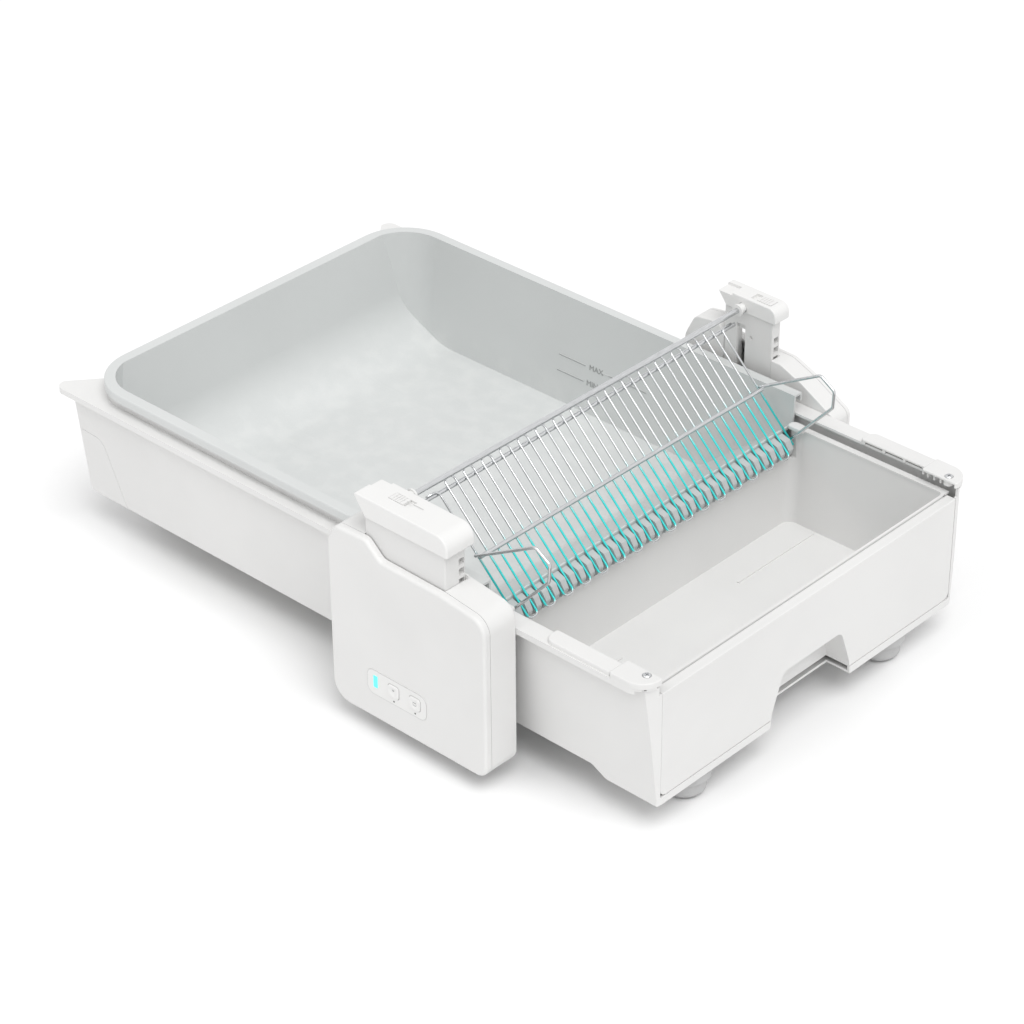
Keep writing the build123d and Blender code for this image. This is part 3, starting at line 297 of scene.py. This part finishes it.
def plated_finish(name, colour, roughness):
    look = Finish(name, colour, roughness, Metallic=1.0)
    spangle = look.noise(700.0, 3.0)
    look.colour(look.mix(spangle.step(0.35, 0.65), shade(colour, 0.85), shade(colour, 1.08)))
    look.roughness(roughness + (spangle - 0.5) * 0.18)
    look.bump(spangle, 0.00003, 0.3)
    return look.material


def rubber_finish(colour):
    look = Finish("foot_rubber", colour, 0.72, Specular_IOR_Level=0.3)
    x, y, z = look.axes()
    dust = look.noise(120.0, 4.0)
    # Painted shade: the feet are darkened over their lowest 8 mm towards the floor, where the contact shadow falls;
    # random darker dust patches are mixed into the same darkening.
    low = 1.0 - z.step(0.0, 0.008)
    look.colour(look.mix((low * 0.45 + dust.step(0.5, 0.8) * 0.2).clamped(), colour, shade(colour, 0.72)))
    look.roughness(0.66 + dust * 0.16)
    look.bump(look.noise(1100.0, 2.0), 0.00005, 0.4)
    return look.material


def glow_finish(colour):
    look = Finish("light_pipe", colour, 0.3, Emission_Strength=0.75)
    look.shader.inputs["Emission Color"].default_value = (*colour, 1.0)
    milk = look.noise(600.0, 2.0)
    look.colour(look.mix(milk, shade(colour, 0.92), shade(colour, 1.05)))
    look.roughness(0.26 + milk * 0.10)
    return look.material


def board_finish():
    look = Finish("circuit_board", (0.03, 0.22, 0.10), 0.4)
    traces = look.noise(900.0, 0.0, stretch=(1.0, 1.0, 0.15)).step(0.50, 0.54)
    look.colour(look.mix(traces, (0.025, 0.19, 0.085), (0.06, 0.30, 0.15)))
    look.roughness(0.36 + traces * 0.12)
    look.bump(traces, 0.00004, 0.4)
    return look.material


def ink_finish(name, colour):
    """Pad-printed ink: slightly uneven, satin."""
    look = Finish(name, colour, 0.5)
    cover = look.noise(1800.0, 2.0)
    look.colour(look.mix(cover.step(0.35, 0.75), colour, shade(colour, 1.25)))
    look.roughness(0.46 + cover * 0.12)
    return look.material


# ------------------------------------------------------------------ printed marks

def mesh_piece(name, mesh, body, material):
    piece = bpy.data.objects.new(name, mesh)
    bpy.context.scene.collection.objects.link(piece)
    mesh.materials.append(material)
    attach(piece, body)
    return piece


def stroke_mesh(name, paths, width, depth, closed=False):
    """Flat-topped bands drawn along paths of (u, v) points, standing on the plane y = 0."""
    bm = bmesh.new()
    for path in paths:
        count = len(path)
        rows = []
        for i, (u, v) in enumerate(path):
            before = path[i - 1] if i or closed else path[0]
            after = path[(i + 1) % count] if i + 1 < count or closed else path[-1]
            along = Vector((after[0] - before[0], after[1] - before[1])).normalized()
            side = Vector((-along.y, along.x)) * (width / 2)
            lean = side * 0.82
            rows.append([bm.verts.new((u + side.x, 0, v + side.y)), bm.verts.new((u + lean.x, -depth, v + lean.y)),
                         bm.verts.new((u - lean.x, -depth, v - lean.y)), bm.verts.new((u - side.x, 0, v - side.y))])
        spans = zip(rows, rows[1:] + rows[:1]) if closed else zip(rows, rows[1:])
        for first, second in spans:
            for j in range(4):
                bm.faces.new((first[j], first[(j + 1) % 4], second[(j + 1) % 4], second[j]))
        if not closed:
            bm.faces.new(rows[0][::-1])
            bm.faces.new(rows[-1])
    bmesh.ops.recalc_face_normals(bm, faces=bm.faces)
    mesh = bpy.data.meshes.new(name)
    bm.to_mesh(mesh)
    bm.free()
    return mesh


def disc_mesh(name, spots, radius, depth, steps=28):
    """Low domed discs at (u, v) spots, standing on the plane y = 0."""
    bm = bmesh.new()
    for u, v in spots:
        rings = []
        for r, y in ((radius, 0.0), (radius * 0.92, -depth * 0.7), (radius * 0.55, -depth)):
            rings.append([bm.verts.new((u + r * math.cos(a), y, v + r * math.sin(a)))
                          for a in (2 * math.pi * k / steps for k in range(steps))])
        for low, high in zip(rings, rings[1:]):
            for k in range(steps):
                bm.faces.new((low[k], low[(k + 1) % steps], high[(k + 1) % steps], high[k]))
        bm.faces.new(rings[-1])
        bm.faces.new(rings[0][::-1])
    bmesh.ops.recalc_face_normals(bm, faces=bm.faces)
    mesh = bpy.data.meshes.new(name)
    bm.to_mesh(mesh)
    bm.free()
    return mesh


def arc(u, v, radius, start, end, steps=14):
    angles = [math.radians(start + (end - start) * k / steps) for k in range(steps + 1)]
    return [(u + radius * math.cos(a), v + radius * math.sin(a)) for a in angles]


def ring_path(u, v, half, radius, tall=None):
    """Rounded rectangle about (u, v), anticlockwise."""
    tall = tall or half
    path = []
    for k, (sign_u, sign_v) in enumerate(((1, 1), (-1, 1), (-1, -1), (1, -1))):
        path += arc(u + sign_u * (half - radius), v + sign_v * (tall - radius), radius, 90 * k, 90 * k + 90, 8)
    return path


def round_wire(name, loops, radius, closed, sides=14):
    """Round wire along each list of points."""
    bm = bmesh.new()
    for points in loops:
        rings = []
        count = len(points)
        side = None
        for i, here in enumerate(points):
            ahead = points[(i + 1) % count] if closed or i + 1 < count else here
            behind = points[i - 1] if closed or i else here
            along = (ahead - behind).normalized()
            if side is None:
                side = along.orthogonal().normalized()
            side = (side - along * side.dot(along)).normalized()
            across = along.cross(side)
            turns = [2 * math.pi * k / sides for k in range(sides)]
            rings.append([bm.verts.new(here + (side * math.cos(a) + across * math.sin(a)) * radius) for a in turns])
        if closed:
            # The frame of the last ring is turned to meet the first one
            first, last = rings[0], rings[-1]
            shift = min(range(sides), key=lambda k: (first[0].co - last[k].co).length)
            rings.append(first[-shift:] + first[:-shift])
        for low, high in zip(rings, rings[1:]):
            for k in range(sides):
                bm.faces.new((low[k], low[(k + 1) % sides], high[(k + 1) % sides], high[k]))
        if not closed:
            bm.faces.new(rings[0][::-1])
            bm.faces.new(rings[-1])
    bmesh.ops.recalc_face_normals(bm, faces=bm.faces)
    for face in bm.faces:
        face.smooth = len(face.verts) == 4
    mesh = bpy.data.meshes.new(name)
    bm.to_mesh(mesh)
    bm.free()
    return mesh


def text_mesh(name, words, height, depth):
    """Lettering as a thin solid, standing on the plane y = 0 with its face towards -y."""
    curve = bpy.data.curves.new(name, "FONT")
    curve.body = words
    curve.size = height
    curve.extrude = depth / 2
    curve.align_x = "LEFT"
    curve.align_y = "CENTER"
    holder = bpy.data.objects.new(name + "_draft", curve)
    bpy.context.scene.collection.objects.link(holder)
    bpy.context.view_layer.update()
    graph = bpy.context.evaluated_depsgraph_get()
    mesh = bpy.data.meshes.new_from_object(holder.evaluated_get(graph))
    mesh.name = name
    bpy.data.objects.remove(holder)
    mesh.transform(Matrix.Rotation(math.radians(90), 4, "X"))
    mesh.materials.clear()
    return mesh


# ------------------------------------------------------------------ settings

class LITTERBOX_colours(bpy.types.PropertyGroup):
    """Colours of the moulded pieces, wire and lights"""
    body: FloatVectorProperty(name="Body", description="White moulded housing", subtype="COLOR",
                              size=3, min=0, max=1, default=(0.768, 0.765, 0.757))
    pan: FloatVectorProperty(name="Pan", description="Litter pan", subtype="COLOR",
                             size=3, min=0, max=1, default=(0.64, 0.655, 0.65))
    comb: FloatVectorProperty(name="Comb", description="Comb between the wires", subtype="COLOR",
                              size=3, min=0, max=1, default=(0.50, 0.52, 0.52))
    steel: FloatVectorProperty(name="Wire", description="Bare sieve wire", subtype="COLOR",
                               size=3, min=0, max=1, default=(0.66, 0.67, 0.68))
    tint: FloatVectorProperty(name="Wire coating", description="Coating on the lower tines", subtype="COLOR",
                              size=3, min=0, max=1, default=(0.045, 0.66, 0.64))
    foot: FloatVectorProperty(name="Feet", description="Rubber feet", subtype="COLOR",
                              size=3, min=0, max=1, default=(0.52, 0.52, 0.52))
    light: FloatVectorProperty(name="Light bar", description="Light on the control panel", subtype="COLOR",
                               size=3, min=0, max=1, default=(0.10, 0.80, 0.76))
    ink: FloatVectorProperty(name="Ink", description="Printed lines and signs", subtype="COLOR",
                             size=3, min=0, max=1, default=(0.30, 0.31, 0.31))


class LITTERBOX_sizes(bpy.types.PropertyGroup):
    """Sizes of the printed marks"""
    letter: FloatProperty(name="Letter height", description="Lettering of the fill lines",
                          default=0.0085, min=0.003, max=0.02, unit="LENGTH")
    wire_pitch: FloatProperty(name="Wire pitch", description="Spacing of the sieve wires",
                              default=0.0114, min=0.006, max=0.02, unit="LENGTH")
    wire_bend: FloatProperty(name="Wire bend", description="Bend radius of the hairpin loops",
                             default=0.0040, min=0.0015, max=0.0055, unit="LENGTH")
    sign_line: FloatProperty(name="Sign line", description="Line width of the button signs",
                             default=0.00055, min=0.0002, max=0.002, unit="LENGTH")
    dot: FloatProperty(name="Dot radius", description="Dots under the buttons",
                       default=0.0009, min=0.0003, max=0.003, unit="LENGTH")
    ink_depth: FloatProperty(name="Ink depth", description="How far printed marks stand proud",
                             default=0.00012, min=0.00002, max=0.001, unit="LENGTH")


class LITTERBOX_studio(bpy.types.PropertyGroup):
    """Lamps and the photograph's camera"""
    sky: FloatProperty(name="Sky", description="Strength of the even light", default=0.64, min=0, max=3)
    key: FloatProperty(name="Key light", description="Broad soft light from above the drawer", default=1.6,
                       min=0, max=10)
    fill: FloatProperty(name="Fill lamp", description="Soft lamp towards the far walls", default=5.0,
                        min=0, max=500, unit="POWER")
    azimuth: FloatProperty(name="Azimuth", description="Camera direction round the object",
                           default=math.radians(43.28), subtype="ANGLE", unit="ROTATION")
    elevation: FloatProperty(name="Elevation", description="Camera height angle",
                             default=math.radians(32.86), subtype="ANGLE", unit="ROTATION")
    roll: FloatProperty(name="Roll", description="Camera roll", default=math.radians(-0.533),
                        subtype="ANGLE", unit="ROTATION")
    lens: FloatProperty(name="Lens", description="Focal length on a 36 mm sensor", default=113.79, min=10, max=400,
                        unit="CAMERA")
    stand: FloatVectorProperty(name="Camera place", description="Camera position in the working frame",
                               subtype="TRANSLATION", unit="LENGTH", size=3,
                               default=(1.377015, -1.840037, 1.559230))


def settings():
    scene = bpy.context.scene
    return scene.litterbox_colours, scene.litterbox_sizes, scene.litterbox_studio


# ------------------------------------------------------------------ operators

class LITTERBOX_OT_housing(bpy.types.Operator):
    """Finish the white moulded housing, drawer, towers, columns and caps"""
    bl_idname = "litterbox.housing"
    bl_label = "Housing finish"

    def execute(self, context):
        colours = settings()[0]
        white = tuple(colours.body)
        dress(moulded_finish("housing_white", white, 0.44), "base_tub", "rear_cover", "near_corner_cap",
              "far_corner_cap", "near_tower_shell", "near_tower_cover", "far_tower_shell", "far_tower_cover")
        dress(moulded_finish("drawer_white", shade(white, 0.99), 0.40), "waste_bin", "drawer_front")
        dress(moulded_finish("column_white", shade(white, 0.965), 0.36, 0.00002), "near_column", "far_column")
        # Painted light: the caps get a copy of the body white 4 % brighter, standing in for the stronger light on
        # their top faces.
        dress(moulded_finish("cap_white_painted_top_light", shade(white, 1.04), 0.40, 0.00002), "near_cap", "far_cap")
        dress(moulded_finish("latch_white", shade(white, 1.01), 0.34, 0.00002), "near_cap_latch", "far_cap_latch")
        return {"FINISHED"}


class LITTERBOX_OT_pan(bpy.types.Operator):
    """Finish the litter pan, the comb and the glide pieces"""
    bl_idname = "litterbox.pan"
    bl_label = "Pan and comb finish"

    def execute(self, context):
        colours = settings()[0]
        dress(pan_finish(tuple(colours.pan)), "litter_pan")
        grey = tuple(colours.comb)
        dress(moulded_finish("comb_grey", grey, 0.46), "scraper_comb", "near_glide_shoes", "far_glide_shoes",
              "near_lift_gearbox", "far_lift_gearbox")
        dress(moulded_finish("beam_grey", shade(grey, 0.72), 0.5, 0.00005), "yoke_beam")
        dress(moulded_finish("acetal", (0.72, 0.72, 0.67), 0.34, 0.00002), "near_travel_rack", "far_travel_rack",
              "travel_pinions", "motor_pinion", "near_lift_pinion", "far_lift_pinion")
        return {"FINISHED"}


class LITTERBOX_OT_sieve(bpy.types.Operator):
    """Finish the wire sieve, its rods, guards and sleeves"""
    bl_idname = "litterbox.sieve"
    bl_label = "Sieve finish"

    def execute(self, context):
        colours, sizes, studio = settings()
        steel = tuple(colours.steel)
        self.bend_wires(wire_finish(steel, tuple(colours.tint)), sizes)
        dress(rod_finish(steel), "sieve_crossbar", "lower_rod", "pivot_rod", "near_side_guard", "far_side_guard")
        dress(moulded_finish("sleeve_white", (0.80, 0.80, 0.79), 0.36, 0.00002), "rod_sleeves")
        return {"FINISHED"}

    def bend_wires(self, look, sizes):
        """Hairpin loops and the two end wires, in the place of the plain CAD wires."""
        top = place(TINE_TOP[0], 0, TINE_TOP[1])
        tip = place(TINE_TIP[0], 0, TINE_TIP[1])
        down = (tip - top).normalized()
        length = (tip - top).length
        pitch = sizes.wire_pitch
        count = 2 * round((END_WIRE_Y * 2 / pitch + 1) / 2)
        bend = sizes.wire_bend
        loops = []
        for i in range(1, count - 1, 2):
            middle = (i + 0.5 - (count - 1) / 2) * pitch + ORIGIN.y
            corners = []
            for along, across, start in ((length - bend, pitch / 2 - bend, 0), (bend, pitch / 2 - bend, 90),
                                         (bend, bend - pitch / 2, 180), (length - bend, bend - pitch / 2, 270)):
                corners += arc(along, across, bend, start, start + 90, 7)
            loops.append([top + down * u + Vector((0, middle - top.y + v, 0)) for u, v in corners])
        wires = mesh_piece("sieve_wires", round_wire("sieve_wires", loops, WIRE_R, True), "sieve", look)
        ends = []
        for side in (-1, 1):
            y = side * END_WIRE_Y
            turn = [(math.sin(a) * 0.005, 0.005 - math.cos(a) * 0.005) for a in (math.pi / 16 * k for k in range(9))]
            path = [top + down * (length - 0.008) + Vector((0, y, 0))]
            path += [top + down * (0.006 + 0.005 - u) + Vector((0, y + side * v, 0)) for u, v in turn]
            path.append(top + down * 0.006 + Vector((0, y + side * 0.014, 0)))
            ends.append(path)
        mesh_piece("sieve_end_wires", round_wire("sieve_end_wires", ends, WIRE_R, False), "sieve", look)
        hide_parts("sieve_tines")


class LITTERBOX_OT_small_parts(bpy.types.Operator):
    """Finish feet, screws, shaft, motor, board and power inlet"""
    bl_idname = "litterbox.small_parts"
    bl_label = "Small parts finish"

    def execute(self, context):
        colours = settings()[0]
        dress(rubber_finish(tuple(colours.foot)), "front_feet", "rear_feet")
        dress(plated_finish("zinc_plate", (0.62, 0.63, 0.64), 0.34), "corner_screws", "drawer_screws",
              "far_tower_screws", "yoke_screws")
        dress(plated_finish("shaft_steel", (0.56, 0.56, 0.56), 0.28), "cross_shaft", "travel_motor")
        dress(board_finish(), "control_board")
        dress(moulded_finish("inlet_black", (0.02, 0.02, 0.02), 0.42), "power_inlet")
        return {"FINISHED"}


class LITTERBOX_OT_panel_marks(bpy.types.Operator):
    """Finish the control panel and print the signs and dots of its buttons"""
    bl_idname = "litterbox.panel_marks"
    bl_label = "Control panel"

    def execute(self, context):
        colours, sizes, studio = settings()
        white = shade(tuple(colours.body), 1.05)
        dress(moulded_finish("panel_film", white, 0.30, 0.00001), "control_panel")
        dress(moulded_finish("button_white", shade(white, 1.01), 0.34, 0.00001), "button_clean", "button_power")
        dress(glow_finish(tuple(colours.light)), "led_light_pipe")
        ink = ink_finish("sign_ink", tuple(colours.ink))
        w = sizes.sign_line
        rake = [[(0.0, 0.0042), (0.0, 0.0008)], [(-0.0016, 0.0023), (0.0, 0.0006), (0.0016, 0.0023)],
                [(-0.0036, 0.0004), (-0.0028, -0.0030), (0.0028, -0.0030), (0.0036, 0.0004)]]
        level = [[(-0.0038, 0.0010), (0.0038, 0.0010)], arc(0.0, 0.0010, 0.0030, 180, 360)]
        for name, button, centre, paths in (("sign_clean", "clean_button", -0.2516, rake),
                                            ("sign_level", "power_button", -0.2259, level)):
            mesh = stroke_mesh(name, paths, w, sizes.ink_depth)
            mesh.transform(Matrix.Translation(place(centre, BUTTON_FACE_Y + 0.00062, -0.088)))
            mesh_piece(name, mesh, button, ink)
        outline = [ring_path(centre, -0.088, 0.0068, 0.0033) for centre in (-0.2516, -0.2259)]
        rings = stroke_mesh("button_rings", outline, w, sizes.ink_depth, closed=True)
        rings.transform(Matrix.Translation(place(0.0, PANEL_FACE_Y, 0.0)))
        mesh_piece("button_rings", rings, "gantry", ink_finish("ring_ink", shade(white, 0.62)))
        edge = stroke_mesh("panel_edge", [ring_path(-0.248, -0.089, 0.0357, 0.0078, 0.0127)], w, sizes.ink_depth,
                           closed=True)
        edge.transform(Matrix.Translation(place(0.0, PANEL_FACE_Y, 0.0)))
        mesh_piece("panel_edge", edge, "gantry", ink_finish("edge_ink", shade(white, 0.72)))
        dots = disc_mesh("panel_dots", [(-0.2516, -0.0985), (-0.2259, -0.0985)], sizes.dot, sizes.ink_depth)
        dots.transform(Matrix.Translation(place(0.0, PANEL_FACE_Y, 0.0)))
        mesh_piece("panel_dots", dots, "gantry", ink_finish("dot_ink", (0.03, 0.03, 0.03)))
        return {"FINISHED"}


class LITTERBOX_OT_cap_mark(bpy.types.Operator):
    """Draw the fine groove line along the slot of the near cap as a darker raised stroke; the line is real, its dark
    colour is painted groove shade.
    """
    bl_idname = "litterbox.cap_mark"
    bl_label = "Cap mark"

    def execute(self, context):
        colours, sizes, studio = settings()
        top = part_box("near_cap")[1][2]
        mark = stroke_mesh("cap_mark", [CAP_MARK], sizes.sign_line, sizes.ink_depth)
        mark.transform(Matrix.Rotation(math.radians(-90), 4, "X"))
        spot = place(0.0, CAP_MARK_Y, 0.0)
        mark.transform(Matrix.Translation((spot.x, spot.y, top)))
        # Painted shade: the stroke is darker than the body white to stand for the shade inside the fine groove.
        mesh_piece("cap_mark", mark, "lift", ink_finish("cap_groove_painted_shade", shade(tuple(colours.body), 0.70)))
        return {"FINISHED"}


class LITTERBOX_OT_fill_marks(bpy.types.Operator):
    """Print the lettering of the fill lines on the pan walls"""
    bl_idname = "litterbox.fill_marks"
    bl_label = "Fill lines"

    words_high: StringProperty(name="Upper word", description="Lettering of the upper fill line", default="MAX")
    words_low: StringProperty(name="Lower word", description="Lettering of the lower fill line", default="MIN")

    def execute(self, context):
        colours, sizes, studio = settings()
        ink = ink_finish("fill_ink", shade(tuple(colours.pan), 0.50))
        for words, height, start in ((self.words_high, -0.038, -0.440), (self.words_low, -0.056, -0.443)):
            wall = PAN_WALL_Y - (PAN_RIM_Z - height) * math.tan(PAN_DRAFT)
            for wall_name, turn in (("far", 0.0), ("near", math.pi)):
                mesh = text_mesh("fill_" + words.lower(), words, sizes.letter, 0.0006)
                mesh.transform(Matrix.Rotation(-PAN_DRAFT, 4, "X"))
                width = max(v.co.x for v in mesh.vertices)
                mesh.transform(Matrix.Translation((-width / 2, 0, 0)))
                mesh.transform(Matrix.Translation((0, wall - 0.0001, 0)))
                mesh.transform(Matrix.Rotation(turn, 4, "Z"))
                mesh.transform(Matrix.Translation(place(start + width / 2, 0, height)))
                mesh_piece("fill_word_" + words.lower() + "_" + wall_name, mesh, "base", ink)
        for wall_name, turn in (("far", 0.0), ("near", math.pi)):
            for height, spans in ((-0.038, ((-0.4795, -0.4445), (-0.4145, -0.366))), (-0.056, ((-0.4815, -0.4465),))):
                wall = PAN_WALL_Y - (PAN_RIM_Z - height) * math.tan(PAN_DRAFT) - RIB_PROUD
                centre = sum(a + b for a, b in spans) / (2 * len(spans))
                flip = -1 if turn else 1
                paths = [[((a - centre) * flip, 0.0), ((b - centre) * flip, 0.0)] for a, b in spans]
                mesh = stroke_mesh("fill_line", paths, 0.0011, sizes.ink_depth)
                mesh.transform(Matrix.Translation((0, wall, 0)))
                mesh.transform(Matrix.Rotation(turn, 4, "Z"))
                mesh.transform(Matrix.Translation(place(centre, 0, height)))
                name = "fill_line_" + wall_name + ("_high" if height > -0.05 else "_low")
                mesh_piece(name, mesh, "base", ink)
        return {"FINISHED"}


class LITTERBOX_OT_stage(bpy.types.Operator):
    """Lay the floor, hang the lamps and set the photograph's camera"""
    bl_idname = "litterbox.stage"
    bl_label = "Studio"

    def execute(self, context):
        studio = settings()[2]
        scene = context.scene
        scene.view_settings.view_transform = "Standard"
        self.lay_floor()
        self.light_sky(studio.sky)
        key = bpy.data.lights.new("light_key", "SUN")
        key.energy = studio.key
        key.angle = math.radians(38)
        fill = bpy.data.lights.new("light_fill", "AREA")
        fill.energy = studio.fill
        fill.shape = "DISK"
        fill.size = 1.2
        for lamp, spot in ((key, (1.26, -0.6, 2.65)), (fill, (-0.2, -1.5, 1.9))):
            holder = bpy.data.objects.new(lamp.name, lamp)
            scene.collection.objects.link(holder)
            holder.location = spot
            holder.rotation_euler = (Vector((0, 0, 0.1)) - Vector(spot)).to_track_quat("-Z", "Y").to_euler()
        self.set_camera(studio)
        return {"FINISHED"}

    def lay_floor(self):
        bm = bmesh.new()
        bmesh.ops.create_grid(bm, x_segments=12, y_segments=12, size=9.0)
        mesh = bpy.data.meshes.new("studio_floor")
        bm.to_mesh(mesh)
        bm.free()
        floor = bpy.data.objects.new("studio_floor", mesh)
        floor.location = (0, 0, -0.0004)
        bpy.context.scene.collection.objects.link(floor)
        look = Finish("floor_paper", (0.93, 0.93, 0.93), 0.8, Specular_IOR_Level=0.1)
        pale = look.noise(3.0, 2.0)
        look.colour(look.mix(pale, (0.93, 0.93, 0.93), (0.945, 0.945, 0.945)))
        look.roughness(0.78 + pale * 0.08)
        mesh.materials.append(look.material)

    def light_sky(self, strength):
        world = bpy.data.worlds.new("studio_sky")
        bpy.context.scene.world = world
        world.use_nodes = True
        tree = world.node_tree
        tree.nodes.clear()
        rays = tree.nodes.new("ShaderNodeLightPath")
        seen = tree.nodes.new("ShaderNodeMath")
        seen.operation = "MAXIMUM"
        tree.links.new(rays.outputs["Is Camera Ray"], seen.inputs[0])
        tree.links.new(rays.outputs["Is Transmission Ray"], seen.inputs[1])
        shiny = tree.nodes.new("ShaderNodeMath")
        shiny.operation = "MAXIMUM"
        tree.links.new(seen.outputs[0], shiny.inputs[0])
        tree.links.new(rays.outputs["Is Glossy Ray"], shiny.inputs[1])
        even = tree.nodes.new("ShaderNodeBackground")
        even.inputs["Color"].default_value = (1.0, 1.0, 1.0, 1.0)
        even.inputs["Strength"].default_value = strength
        white = tree.nodes.new("ShaderNodeBackground")
        white.inputs["Color"].default_value = (1.0, 1.0, 1.0, 1.0)
        white.inputs["Strength"].default_value = 1.0
        choose = tree.nodes.new("ShaderNodeMixShader")
        tree.links.new(shiny.outputs[0], choose.inputs[0])
        tree.links.new(even.outputs[0], choose.inputs[1])
        tree.links.new(white.outputs[0], choose.inputs[2])
        output = tree.nodes.new("ShaderNodeOutputWorld")
        tree.links.new(choose.outputs[0], output.inputs["Surface"])

    def set_camera(self, studio):
        a, e = studio.azimuth, studio.elevation
        back = Vector((math.sin(a) * math.cos(e), -math.cos(a) * math.cos(e), math.sin(e)))
        right = (-back).cross(Vector((0, 0, 1))).normalized()
        up = right.cross(-back)
        c, s = math.cos(studio.roll), math.sin(studio.roll)
        camera = bpy.data.cameras.new("studio_camera")
        camera.sensor_width = 36.0
        camera.lens = studio.lens
        camera.clip_end = 50.0
        holder = bpy.data.objects.new("studio_camera", camera)
        turn = Matrix((right * c + up * s, up * c - right * s, back)).transposed().to_4x4()
        holder.matrix_world = Matrix.Translation(place(*studio.stand)) @ turn
        bpy.context.scene.collection.objects.link(holder)
        bpy.context.scene.camera = holder


class LITTERBOX_PT_sidebar(bpy.types.Panel):
    """Colours, sizes and steps of the litter box dressing"""
    bl_idname = "LITTERBOX_PT_sidebar"
    bl_label = "Litter box"
    bl_space_type = "VIEW_3D"
    bl_region_type = "UI"
    bl_category = "Litter box"

    def draw(self, context):
        for group in settings():
            box = self.layout.box()
            for name in group.bl_rna.properties.keys():
                if name not in {"rna_type", "name"}:
                    box.prop(group, name)
        for step in STEPS:
            self.layout.operator(step.bl_idname)


GROUPS = (LITTERBOX_colours, LITTERBOX_sizes, LITTERBOX_studio)
STEPS = (LITTERBOX_OT_housing, LITTERBOX_OT_pan, LITTERBOX_OT_sieve, LITTERBOX_OT_small_parts,
         LITTERBOX_OT_panel_marks, LITTERBOX_OT_cap_mark, LITTERBOX_OT_fill_marks, LITTERBOX_OT_stage)


def register():
    for item in GROUPS + STEPS + (LITTERBOX_PT_sidebar,):
        bpy.utils.register_class(item)
    bpy.types.Scene.litterbox_colours = PointerProperty(type=LITTERBOX_colours)
    bpy.types.Scene.litterbox_sizes = PointerProperty(type=LITTERBOX_sizes)
    bpy.types.Scene.litterbox_studio = PointerProperty(type=LITTERBOX_studio)


def unregister():
    del bpy.types.Scene.litterbox_studio
    del bpy.types.Scene.litterbox_sizes
    del bpy.types.Scene.litterbox_colours
    for item in reversed(GROUPS + STEPS + (LITTERBOX_PT_sidebar,)):
        bpy.utils.unregister_class(item)


def main():
    register()
    bpy.ops.litterbox.housing()
    bpy.ops.litterbox.pan()
    bpy.ops.litterbox.sieve()
    bpy.ops.litterbox.small_parts()
    bpy.ops.litterbox.panel_marks()
    bpy.ops.litterbox.cap_mark()
    bpy.ops.litterbox.fill_marks()
    bpy.ops.litterbox.stage()


if __name__ == "__main__":
    main()
